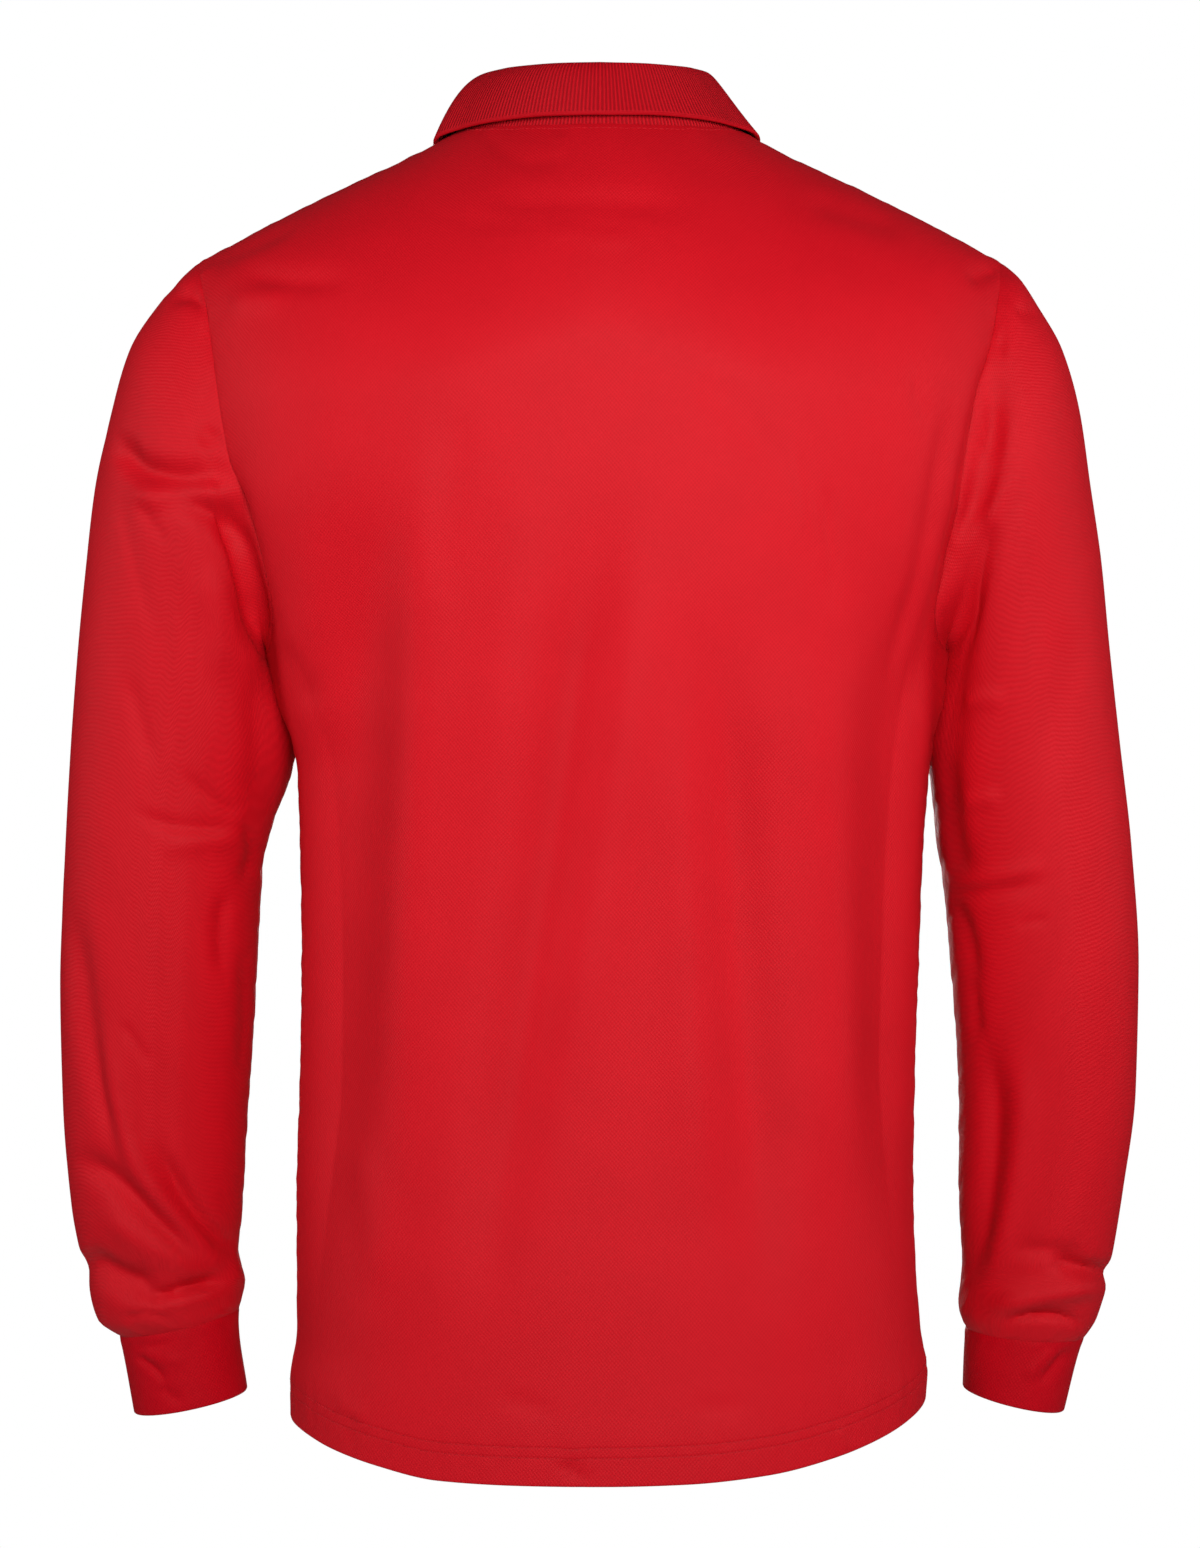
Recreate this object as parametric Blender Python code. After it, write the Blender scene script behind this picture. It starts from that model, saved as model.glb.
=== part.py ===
"""Long-sleeve polo shirt, filled out as it is worn, modelled from its cut pieces.

Metres, +Z up. The front faces -Y and the wearer's left is +X. The origin is the middle of the
neck opening at the height where the shoulder seams meet the collar. Every cloth piece is a wall
round a middle surface: a grid of points worked out from the tables of sections below, thickened
by half the cloth on each side. Pieces that are sewn to each other share their seam line and the
direction in which the cloth is thick there, and each stops half a seam gap short of it.
"""

import math

import bpy
import numpy as np
from mathutils.bvhtree import BVHTree

CLOTH = 0.0016  # thickness of the pique wall
RIB = 0.0020  # thickness of the rib-knit collar
SEAM_GAP = 0.0003  # between two pieces at their seam
MOST_MITRE = 2.2  # longest the wall may lean at a sharp seam, in half thicknesses

# The torso tube. Half widths on the wearer's left and right, depths behind and before the side
# seams, at heights below the neck. The left side hangs a little straighter than the right.
BODY_COLUMNS = ("z", "left", "right", "back", "front")
BODY_SECTIONS = (
    (-0.742, 0.1728, 0.1816, 0.122, 0.116),
    (-0.716, 0.1725, 0.1814, 0.122, 0.116),
    (-0.699, 0.1725, 0.1825, 0.121, 0.116),
    (-0.676, 0.1691, 0.1791, 0.120, 0.115),
    (-0.640, 0.1694, 0.1763, 0.119, 0.114),
    (-0.598, 0.1697, 0.1752, 0.117, 0.113),
    (-0.530, 0.1678, 0.1763, 0.115, 0.112),
    (-0.463, 0.1669, 0.1786, 0.114, 0.112),
    (-0.410, 0.1677, 0.1806, 0.115, 0.114),
    (-0.362, 0.1693, 0.1843, 0.118, 0.117),
    (-0.328, 0.1763, 0.1883, 0.120, 0.120),
    (-0.296, 0.1838, 0.1918, 0.121, 0.122),
    (-0.250, 0.1960, 0.2010, 0.123, 0.124),
    (-0.200, 0.2150, 0.2165, 0.124, 0.124),
    (-0.160, 0.2225, 0.2235, 0.123, 0.121),
    (-0.120, 0.2265, 0.2280, 0.121, 0.116),
    (-0.076, 0.2350, 0.2350, 0.119, 0.110),
    (0.040, 0.2350, 0.2350, 0.117, 0.104),
)
SECTION_POWER = 2.4  # how square the torso's sections are, 2 is an ellipse

# Where the armhole seam crosses each height: distance from the middle at the back (left, right)
# and how much further in the front edge is cut.
ARMHOLE_COLUMNS = ("z", "left", "right", "front_in")
ARMHOLE = (
    (-0.296, 0.1838, 0.1918, 0.000),
    (-0.276, 0.1838, 0.1905, 0.003),
    (-0.250, 0.1868, 0.1938, 0.007),
    (-0.220, 0.1955, 0.1993, 0.010),
    (-0.190, 0.2030, 0.2038, 0.011),
    (-0.157, 0.2090, 0.2094, 0.010),
    (-0.131, 0.2130, 0.2150, 0.007),
    (-0.106, 0.2175, 0.2195, 0.004),
    (-0.0765, 0.2255, 0.2255, 0.000),
)
UNDERARM_Z = -0.296
SHOULDER_POINT = (0.2255, -0.0765)

# The shoulder line, seen from the back, and how softly the cloth turns over it.
SHOULDER_COLUMNS = ("x", "z")
SHOULDER_LINE = (
    (0.000, 0.0300),
    (0.030, 0.0215),
    (0.078, -0.0015),
    (0.1006, -0.0141),
    (0.1478, -0.0366),
    (0.1927, -0.0591),
    (0.2129, -0.0700),
    (0.2255, -0.0765),
    (0.2400, -0.0850),
)
SHOULDER_SLOPE = 0.56  # beside the neck
SHOULDER_SEAM_Y = -0.010  # the seam lies a little forward of the top
TURN_COLUMNS = ("x", "drop_back", "drop_front", "power")
SHOULDER_TURN = (
    (0.00, 0.155, 0.235, 1.55),
    (0.08, 0.145, 0.200, 1.60),
    (0.14, 0.125, 0.150, 1.80),
    (0.20, 0.105, 0.115, 1.95),
    (0.24, 0.100, 0.105, 2.00),
)

NECK_HALF_WIDTH = 0.078
BACK_NECK_Z = -0.0040  # the neck seam at the middle of the back
FRONT_NECK_Z = -0.0860  # and at the middle of the front
NECK_SWEEP_BACK = 1.6  # how late the back neck seam rises to the shoulders, 1 is an ellipse
# The hem of the back, from the middle to the side seam: it hangs lowest in the middle, and on the
# wearer's right it rises sooner.
HEM_COLUMNS = ("share", "left", "right")
HEM = (
    (0.00, -0.7392, -0.7392),
    (0.25, -0.7390, -0.7384),
    (0.50, -0.7380, -0.7350),
    (0.70, -0.7328, -0.7285),
    (0.85, -0.7274, -0.7213),
    (0.95, -0.7228, -0.7150),
    (1.00, -0.7212, -0.7112),
)
HEM_FRONT_Z = -0.7320  # the front's hem in the middle, with the same sweep

# The sleeves. Outer and inner outline of each section as seen from behind, the depth of its
# middle, and its half depth. The first row after the armhole is the top of the sleeve.
SLEEVE_COLUMNS = ("out_x", "out_z", "in_x", "in_z", "mid_y", "half_y")
SLEEVE_LEFT = (
    (0.2352, -0.0865, 0.1885, -0.2945, -0.003, 0.0570),
    (0.2450, -0.0972, 0.1886, -0.2985, -0.005, 0.0605),
    (0.2640, -0.1251, 0.1846, -0.3100, -0.010, 0.0640),
    (0.2760, -0.1643, 0.1794, -0.3280, -0.016, 0.0650),
    (0.2852, -0.2038, 0.1762, -0.3460, -0.022, 0.0645),
    (0.2908, -0.2480, 0.1770, -0.3660, -0.026, 0.0630),
    (0.2958, -0.2960, 0.1848, -0.3880, -0.029, 0.0600),
    (0.3000, -0.3500, 0.1922, -0.4150, -0.031, 0.0575),
    (0.3035, -0.4100, 0.1952, -0.4560, -0.033, 0.0555),
    (0.3068, -0.4830, 0.1978, -0.5090, -0.036, 0.0520),
    (0.3058, -0.5520, 0.2020, -0.5570, -0.041, 0.0480),
    (0.3015, -0.6120, 0.2055, -0.6120, -0.046, 0.0445),
    (0.2930, -0.6560, 0.2085, -0.6480, -0.050, 0.0410),
    (0.2870, -0.6780, 0.2072, -0.6670, -0.051, 0.0375),
    (0.2749, -0.6868, 0.2078, -0.6725, -0.052, 0.0345),
)
SLEEVE_RIGHT = (
    (0.2352, -0.0860, 0.1958, -0.2945, -0.003, 0.0570),
    (0.2450, -0.1005, 0.1962, -0.2985, -0.005, 0.0605),
    (0.2595, -0.1251, 0.1945, -0.3120, -0.010, 0.0640),
    (0.2698, -0.1587, 0.1920, -0.3290, -0.016, 0.0650),
    (0.2767, -0.2009, 0.1900, -0.3480, -0.022, 0.0645),
    (0.2834, -0.2440, 0.1890, -0.3680, -0.026, 0.0630),
    (0.2884, -0.2920, 0.1907, -0.3960, -0.029, 0.0600),
    (0.2945, -0.3460, 0.1962, -0.4290, -0.031, 0.0575),
    (0.3015, -0.4060, 0.2000, -0.4680, -0.033, 0.0555),
    (0.3060, -0.4750, 0.2041, -0.5170, -0.036, 0.0520),
    (0.3050, -0.5450, 0.2060, -0.5580, -0.041, 0.0480),
    (0.2985, -0.6020, 0.2063, -0.6030, -0.046, 0.0445),
    (0.2908, -0.6504, 0.2082, -0.6458, -0.050, 0.0410),
    (0.2840, -0.6770, 0.2065, -0.6720, -0.051, 0.0375),
    (0.2772, -0.6880, 0.2106, -0.6830, -0.052, 0.0345),
)
CUFF_LEFT = (
    (0.2730, -0.6955, 0.2081, -0.6815, -0.0525, 0.0338),
    (0.2668, -0.7325, 0.2035, -0.7200, -0.0560, 0.0325),
)
CUFF_RIGHT = (
    (0.2745, -0.6950, 0.2101, -0.6880, -0.0525, 0.0338),
    (0.2658, -0.7310, 0.2093, -0.7185, -0.0560, 0.0325),
)

# The collar, from the middle of the back round to the front end: the turn about the neck, the
# top of the fold and the free edge of the leaf. It is the same on both sides.
COLLAR_COLUMNS = ("turn", "fold_x", "fold_y", "fold_z", "edge_x", "edge_y", "edge_z")
COLLAR = (
    (0.0, 0.0000, 0.0450, 0.0295, 0.0000, 0.0572, -0.0001),
    (20.0, 0.0210, 0.0415, 0.0295, 0.0290, 0.0495, 0.0001),
    (40.0, 0.0390, 0.0305, 0.0296, 0.0555, 0.0335, -0.0008),
    (60.0, 0.0510, 0.0150, 0.0300, 0.0765, 0.0135, -0.0028),
    (90.0, 0.0600, -0.0100, 0.0300, 0.0935, -0.0090, -0.0088),
    (110.0, 0.0560, -0.0340, 0.0140, 0.0925, -0.0440, -0.0255),
    (130.0, 0.0455, -0.0560, -0.0095, 0.0850, -0.0690, -0.0610),
    (150.0, 0.0300, -0.0710, -0.0345, 0.0690, -0.0905, -0.0970),
    (177.0, 0.0045, -0.0800, -0.0570, 0.0430, -0.1060, -0.1270),
)
COLLAR_STATIONS = 18  # cells on each side of the middle of the back
COLLAR_LIFT = 0.0013  # from the panels' seam line to the lower edge of the stand
STAND_STEPS = (0.0, 0.40, 0.75, 1.0)  # along the stand, from its seam to the top of the fold
LEAF_STEPS = (0.12, 0.28, 0.5, 0.75, 1.0)  # along the leaf, from the fold to its free edge
ROLL_IN = 0.0040  # how far the stand turns over before the top of the fold
# How the leaf leaves the fold on each side: how far it runs level, of its own spread, and where
# it bends down, of its spread and of its drop. On the wearer's right it falls flatter.
# The last number is how wide the free edge reaches, of the table's.
LEAF_COLUMNS = ("level", "bend_out", "bend_down", "reach")
LEAF_LEFT = (0.40, 0.70, 0.36, 1.0)
LEAF_RIGHT = (0.14, 0.48, 0.50, 0.96)
LEAF_CLEARANCE = 0.0032  # middle of the leaf above the middle of the panel, where it rests

# The largest folds, each a line as seen from behind (facing 1) or from the front (facing -1),
# with how far it reaches to either side and how far it stands out (or in, where negative).
FOLD_COLUMNS = ("piece", "facing", "from_x", "from_z", "to_x", "to_z", "reach", "height")
FOLDS = (
    ("back", 1, 0.112, -0.380, 0.104, -0.700, 0.030, -0.0026),
    ("back", 1, -0.078, -0.420, -0.086, -0.690, 0.026, -0.0022),
    ("back", 1, 0.012, -0.300, 0.004, -0.640, 0.040, 0.0022),
    ("front", -1, 0.085, -0.360, 0.098, -0.690, 0.028, -0.0026),
    ("front", -1, -0.100, -0.300, -0.086, -0.640, 0.030, -0.0024),
    ("sleeve_left", 1, 0.264, -0.518, 0.211, -0.634, 0.016, -0.0040),
    ("sleeve_left", 1, 0.246, -0.205, 0.212, -0.208, 0.018, -0.0036),
    ("sleeve_left", 1, 0.286, -0.560, 0.250, -0.645, 0.018, 0.0026),
    ("sleeve_left", -1, 0.286, -0.360, 0.214, -0.405, 0.020, -0.0040),
    ("sleeve_left", -1, 0.280, -0.610, 0.225, -0.640, 0.016, 0.0030),
    ("sleeve_right", 1, -0.222, -0.655, -0.280, -0.662, 0.014, 0.0030),
    ("sleeve_right", 1, -0.206, -0.420, -0.234, -0.430, 0.020, -0.0030),
    ("sleeve_right", -1, -0.284, -0.350, -0.216, -0.410, 0.020, -0.0040),
    ("sleeve_right", -1, -0.275, -0.590, -0.225, -0.635, 0.018, 0.0028),
)

PLACKET_HALF_WIDTH = 0.016
PLACKET_OVERLAP = 0.0030  # the upper strip covers the slit's edge by this
PLACKET_ROW = 4  # the slit ends at this row of cells above the underarm
PLACKET_TOP_SHARE = 0.985  # of the last cell: the strips stop just under the neck seam
PLACKET_CLOTH = 0.0014
BUTTON_RADIUS = 0.0055
BUTTON_THICK = 0.0024
BUTTON_HOLE = 0.0008
BUTTON_HOLE_SPREAD = 0.0014
BUTTON_DROPS = (0.016, 0.070, 0.124)  # below the front neck seam
BUTTON_SIDES = 20
HOLE_SIDES = 8

ARM_ROWS = 12  # rows of cells from underarm to shoulder
LOW_ROWS = 7  # rows of cells from hem to underarm
SHOULDER_CELLS = 6
NECK_CELLS = 6  # on each side of the middle

RED = (0.62, 0.018, 0.027, 1.0)
DEEP_RED = (0.50, 0.010, 0.020, 1.0)


def column(rows, columns, name):
    """The named column of a table, as an array."""
    return np.array([row[columns.index(name)] for row in rows])


def smooth(at, xs, ys):
    """A smooth curve through the table points (xs, ys), read at `at`, with no overshoot."""
    at = np.clip(at, xs[0], xs[-1])
    step = np.diff(xs)
    slope = np.diff(ys) / step
    tangent = np.zeros(len(xs))
    same = slope[:-1] * slope[1:] > 0
    mean = 2 * slope[:-1] * slope[1:] / np.where(same, slope[:-1] + slope[1:], 1)
    tangent[1:-1] = np.where(same, mean, 0)
    tangent[0], tangent[-1] = slope[0], slope[-1]
    k = np.clip(np.searchsorted(xs, at, side="right") - 1, 0, len(xs) - 2)
    t = (at - xs[k]) / step[k]
    return (
        ys[k] * (1 + 2 * t) * (1 - t) ** 2
        + ys[k + 1] * t * t * (3 - 2 * t)
        + step[k] * (tangent[k] * t * (1 - t) ** 2 - tangent[k + 1] * t * t * (1 - t))
    )


def body_value(z, name):
    return smooth(z, column(BODY_SECTIONS, BODY_COLUMNS, "z"), column(BODY_SECTIONS, BODY_COLUMNS, name))


def armhole_value(z, name):
    return smooth(z, column(ARMHOLE, ARMHOLE_COLUMNS, "z"), column(ARMHOLE, ARMHOLE_COLUMNS, name))


def both_sides(x, xs, ys):
    """A table from the middle outwards, read on either side, level where it crosses the middle."""
    return smooth(x, np.concatenate([-xs[:0:-1], xs]), np.concatenate([ys[:0:-1], ys]))


def turn_value(x, name):
    xs = column(SHOULDER_TURN, TURN_COLUMNS, "x")
    return both_sides(x, xs, column(SHOULDER_TURN, TURN_COLUMNS, name))


def shoulder_z(x):
    xs = column(SHOULDER_LINE, SHOULDER_COLUMNS, "x")
    return both_sides(x, xs, column(SHOULDER_LINE, SHOULDER_COLUMNS, "z"))


def half_width(x, z):
    return np.where(x >= 0, body_value(z, "left"), body_value(z, "right"))


def body_y(x, z, back):
    """Depth of the torso's cloth at (x, z): depth of the section at that height, times the
    superellipse across it, rounded towards the seam over the last stretch under the shoulder."""
    side = "back" if back else "front"
    across = np.clip(1 - (np.abs(x) / half_width(x, z)) ** SECTION_POWER, 0, 1) ** (1 / SECTION_POWER)
    under = np.clip((shoulder_z(x) - z) / turn_value(x, "drop_" + side), 0, 1)
    power = turn_value(x, "power")
    turn = (1 - (1 - under) ** power) ** (1 / power)
    full = body_value(z, side) * across * (1 if back else -1)
    return SHOULDER_SEAM_Y * (1 - turn) + full * turn


def neckline(turn, back):
    """Point (x, z) of the neck seam at an angle from the middle of the back or front."""
    x = NECK_HALF_WIDTH * np.sin(turn)
    top = shoulder_z(NECK_HALF_WIDTH)
    middle = BACK_NECK_Z if back else FRONT_NECK_Z
    return x, top + (middle - top) * np.abs(np.cos(turn)) ** (NECK_SWEEP_BACK if back else 1)


def top_edge(back):
    """The upper edge of a panel for the wearer's left, from the middle to the shoulder point:
    neck seam, then shoulder seam."""
    if back:
        turns = np.linspace(0, math.pi / 2, NECK_CELLS + 1)
    else:
        first = math.asin(PLACKET_HALF_WIDTH / NECK_HALF_WIDTH)
        turns = np.concatenate([[0], np.linspace(first, math.pi / 2, NECK_CELLS)])
    x, z = neckline(turns, back)
    along = np.linspace(NECK_HALF_WIDTH, SHOULDER_POINT[0], SHOULDER_CELLS + 1)[1:]
    return np.concatenate([x, along]), np.concatenate([z, shoulder_z(along)])


def panel_points(back):
    """Middle surface of the back or front as rows of points from hem to top edge, each row from
    the wearer's right to the wearer's left."""
    top_x, top_z = top_edge(back)
    cells = NECK_CELLS + SHOULDER_CELLS
    count = np.arange(cells + 1)
    strip = 1 if not back else 0
    inner = 0.0 if back else PLACKET_HALF_WIDTH
    share = np.clip((count - strip) / (cells - strip), 0, 1)
    low_share = np.sin(share * math.pi / 2) ** (2 / SECTION_POWER)
    high_share = np.clip((top_x - inner) / (SHOULDER_POINT[0] - inner), 0, 1)
    rows = []
    for side in (-1, 1):
        name = "left" if side > 0 else "right"
        hem_z = both_sides(low_share, column(HEM, HEM_COLUMNS, "share"), column(HEM, HEM_COLUMNS, name))
        if not back:
            hem_z = hem_z[-1] + (hem_z - hem_z[-1]) * (HEM_FRONT_Z - hem_z[-1]) / (hem_z[0] - hem_z[-1])
        half = []
        for j in range(LOW_ROWS + 1):
            z = hem_z + (UNDERARM_Z - hem_z) * j / LOW_ROWS
            edge = body_value(z, name)
            x = np.where(count < strip, 0.0, inner + (edge - inner) * low_share)
            half.append(np.stack([side * x, body_y(side * x, z, back), z], axis=1))
        for j in range(1, ARM_ROWS + 1):
            up = (1 - math.cos(math.pi * j / ARM_ROWS)) / 2
            z = UNDERARM_Z + (top_z - UNDERARM_Z) * up
            edge = armhole_value(z[-1], name) - (0 if back else armhole_value(z[-1], "front_in"))
            x = inner + (edge - inner) * (low_share * (1 - up) + high_share * up)
            x = np.where(count < strip, 0.0, x)
            half.append(np.stack([side * x, body_y(side * x, z, back), z], axis=1))
        half = np.array(half)
        rows.append(half[:, ::-1] if side < 0 else half[:, 1:])
    return np.concatenate(rows, axis=1)


def normals(points, ring=False):
    """Unit normals of a grid of points, from the differences of its neighbours both ways."""
    along = np.gradient(points, axis=0)
    if ring:
        across = (np.roll(points, -1, axis=1) - np.roll(points, 1, axis=1)) / 2
    else:
        across = np.gradient(points, axis=1)
    cross = np.cross(along, across)
    return cross / np.maximum(np.linalg.norm(cross, axis=2, keepdims=True), 1e-12)


def folded(piece, points, out):
    """The points moved along their outward directions by every fold of that piece: its height,
    times a bell of the distance from its line, times how squarely the cloth faces that way."""
    moved = points.copy()
    for row in FOLDS:
        name, facing, from_x, from_z, to_x, to_z, reach, height = row
        if name != piece:
            continue
        start, line = np.array([from_x, from_z]), np.array([to_x - from_x, to_z - from_z])
        flat = points[..., [0, 2]] - start
        along = np.clip(flat @ line / (line @ line), 0, 1)
        off = np.linalg.norm(flat - along[..., None] * line, axis=-1)
        lift = height * np.exp(-((off / reach) ** 2)) * np.clip(out[..., 1] * facing, 0, 1)
        moved += out * lift[..., None]
    return moved


def mitre(one, other):
    """The direction half way between two normals, long enough that both walls keep their
    thickness, up to a limit."""
    both = one + other
    both = both / np.maximum(np.linalg.norm(both, axis=-1, keepdims=True), 1e-9)
    lean = np.sum(both * one, axis=-1, keepdims=True)
    return both / np.maximum(lean, 1 / MOST_MITRE)


def pull_back(points, inner, distance):
    """Edge points moved towards their inner neighbours by a distance."""
    way = inner - points
    return points + way / np.linalg.norm(way, axis=-1, keepdims=True) * distance


def wall(name, points, out, thick, colour, ring=False, skip=()):
    """A closed wall round a grid of points: one skin half the thickness out, one half in, and a
    rim round every open edge. Cells named in skip are left out."""
    rows, cols = points.shape[:2]
    turned = np.sum(normals(points, ring) * out) > 0
    skins = [points + out * thick / 2, points - out * thick / 2]
    count = rows * cols
    faces = []
    edges = {}
    for j in range(rows - 1):
        for i in range(cols if ring else cols - 1):
            if (j, i) in skip:
                continue
            k = (i + 1) % cols
            quad = (j * cols + i, j * cols + k, (j + 1) * cols + k, (j + 1) * cols + i)
            quad = quad[::-1] if turned else quad
            faces.append(quad)
            faces.append(tuple(count + v for v in reversed(quad)))
            for a, b in zip(quad, quad[1:] + quad[:1]):
                edges[(a, b)] = True
    for a, b in edges:
        if (b, a) not in edges:
            faces.append((b, a, count + a, count + b))
    return solid(name, np.concatenate([s.reshape(-1, 3) for s in skins]), faces, colour)


def solid(name, verts, faces, colour):
    """A named object with its own material, from the vertices that its faces use."""
    used = sorted({v for face in faces for v in face})
    place = {v: i for i, v in enumerate(used)}
    mesh = bpy.data.meshes.new(name)
    mesh.from_pydata([tuple(verts[v]) for v in used], [], [tuple(place[v] for v in f) for f in faces])
    mesh.validate()
    mesh.shade_smooth()
    mesh.set_sharp_from_angle(angle=math.radians(50))
    material = bpy.data.materials.new(name)
    material.use_nodes = True
    shader = material.node_tree.nodes["Principled BSDF"]
    shader.inputs["Base Color"].default_value = colour
    shader.inputs["Roughness"].default_value = 0.9
    shader.inputs["Metallic"].default_value = 0.0
    mesh.materials.append(material)
    obj = bpy.data.objects.new(name, mesh)
    bpy.context.scene.collection.objects.link(obj)
    return obj


def sleeve_ring(row, side, turns):
    """One section of a sleeve or cuff: an ellipse between the outer and the inner outline, with
    turn 0 outside, a quarter turn at the back."""
    out_x, out_z, in_x, in_z, mid_y, half_y = row
    mid = np.array([(out_x + in_x) / 2, mid_y, (out_z + in_z) / 2])
    reach = np.array([(out_x - in_x) / 2, 0, (out_z - in_z) / 2])
    ring = mid + np.cos(turns)[:, None] * reach + np.sin(turns)[:, None] * np.array([0, half_y, 0])
    return ring * np.array([side, 1, 1])


def armhole_ring(panels, side):
    """The armhole seam as a ring, read from the panels' own edge points: turn 0 at the shoulder
    point, down the back edge to the underarm, and up the front edge."""
    edge = -1 if side > 0 else 0
    back = panels["back"][LOW_ROWS:, edge]
    front = panels["front"][LOW_ROWS:, edge]
    return np.concatenate([back[::-1], front[1:-1]])


def join_rings(upper, lower):
    """The last ring of one tube and the first of the next share one direction and stand half a
    gap off their seam each. Each tube is a list of its rings and of its outward directions."""
    shared = mitre(upper[1][-1], lower[1][0])
    upper[1][-1] = lower[1][0] = shared
    upper[0][-1] = pull_back(upper[0][-1], upper[0][-2], SEAM_GAP / 2)
    lower[0][0] = pull_back(lower[0][0], lower[0][1], SEAM_GAP / 2)


def tube(rings, side):
    """Rings down an arm, with their outward directions."""
    rings = np.array(rings)
    return [rings, side * normals(rings, ring=True)]


def share_side_and_shoulder_seams(outward, shoulder):
    """Back and front get one direction at every point of their side and shoulder seams."""
    low = slice(0, LOW_ROWS + 1)
    for edge in (0, -1):
        shared = mitre(outward["back"][low, edge], outward["front"][low, edge])
        outward["back"][low, edge] = outward["front"][low, edge] = shared
    shared = mitre(outward["back"][-1, shoulder], outward["front"][-1, shoulder])
    outward["back"][-1, shoulder] = outward["front"][-1, shoulder] = shared


def share_armhole(outward, sleeve, side):
    """Panels and sleeve share one direction at each point of the armhole. Ring point k counts
    from the shoulder point down the back edge and up the front edge."""
    edge = -1 if side > 0 else 0
    for k in range(2 * ARM_ROWS):
        name, row = ("back", ARM_ROWS - k) if k <= ARM_ROWS else ("front", k - ARM_ROWS)
        shared = mitre(outward[name][LOW_ROWS + row, edge], sleeve[1][0, k])
        outward[name][LOW_ROWS + row, edge] = sleeve[1][0, k] = shared
        if row in (0, ARM_ROWS):
            outward["front"][LOW_ROWS + row, edge] = shared


def stop_short_of_seams(panels, outward, shoulder):
    half_gap = SEAM_GAP / 2
    for name, points in panels.items():
        lean = np.linalg.norm(outward[name], axis=2, keepdims=True)
        before = points.copy()
        for edge, inner in ((0, 1), (-1, -2)):
            points[:, edge] = pull_back(before[:, edge], before[:, inner], half_gap * lean[:, edge])
        points[-1, shoulder, 1] = before[-1, shoulder, 1] + (half_gap if name == "back" else -half_gap)


def build_body():
    """Back, front, sleeves and cuffs. Returns the front panel's grid and directions for the
    pieces that are sewn on to it, and the torso's middle surface for what lies over it."""
    panels = {name: panel_points(name == "back") for name in ("back", "front")}
    facing = {"back": 1, "front": -1}
    for name, points in panels.items():
        panels[name] = folded(name, points, facing[name] * normals(points))
    outward = {name: facing[name] * normals(panels[name]) for name in panels}
    torso = {name: (panels[name].copy(), outward[name].copy()) for name in panels}
    turns = np.linspace(0, 2 * math.pi, 2 * ARM_ROWS, endpoint=False)
    middle = NECK_CELLS + SHOULDER_CELLS
    shoulder = list(range(SHOULDER_CELLS + 1)) + list(range(2 * middle - SHOULDER_CELLS, 2 * middle + 1))
    share_side_and_shoulder_seams(outward, shoulder)
    arms = ((1, "left", SLEEVE_LEFT, CUFF_LEFT), (-1, "right", SLEEVE_RIGHT, CUFF_RIGHT))
    for side, name, sleeve_rows, cuff_rows in arms:
        rings = tube([armhole_ring(panels, side)] + [sleeve_ring(row, side, turns) for row in sleeve_rows], side)
        plain = folded("sleeve_" + name, *rings)
        plain[0] = rings[0][0]
        sleeve = tube(plain, side)
        cuff = tube([sleeve[0][-1]] + [sleeve_ring(row, side, turns) for row in cuff_rows], side)
        share_armhole(outward, sleeve, side)
        lean = np.linalg.norm(sleeve[1][0], axis=1, keepdims=True)
        sleeve[0][0] = pull_back(sleeve[0][0], sleeve[0][1], SEAM_GAP / 2 * lean)
        join_rings(sleeve, cuff)
        wall("sleeve_" + name, *sleeve, CLOTH, RED, ring=True)
        wall("cuff_" + name, *cuff, CLOTH, DEEP_RED, ring=True)
    stop_short_of_seams(panels, outward, shoulder)
    slit_rows = range(LOW_ROWS + PLACKET_ROW, LOW_ROWS + ARM_ROWS)
    slit = {(j, i) for i in (middle - 1, middle) for j in slit_rows}
    wall("back", panels["back"], outward["back"], CLOTH, RED)
    wall("front", panels["front"], outward["front"], CLOTH, RED, skip=slit)
    return torso


def between(grid, row, col):
    """A grid read between its points: row and column numbers may be fractions."""
    j, i = min(int(row), len(grid) - 2), min(int(col), grid.shape[1] - 2)
    v, u = row - j, col - i
    low = grid[j, i] * (1 - u) + grid[j, i + 1] * u
    return low * (1 - v) + (grid[j + 1, i] * (1 - u) + grid[j + 1, i + 1] * u) * v


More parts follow.
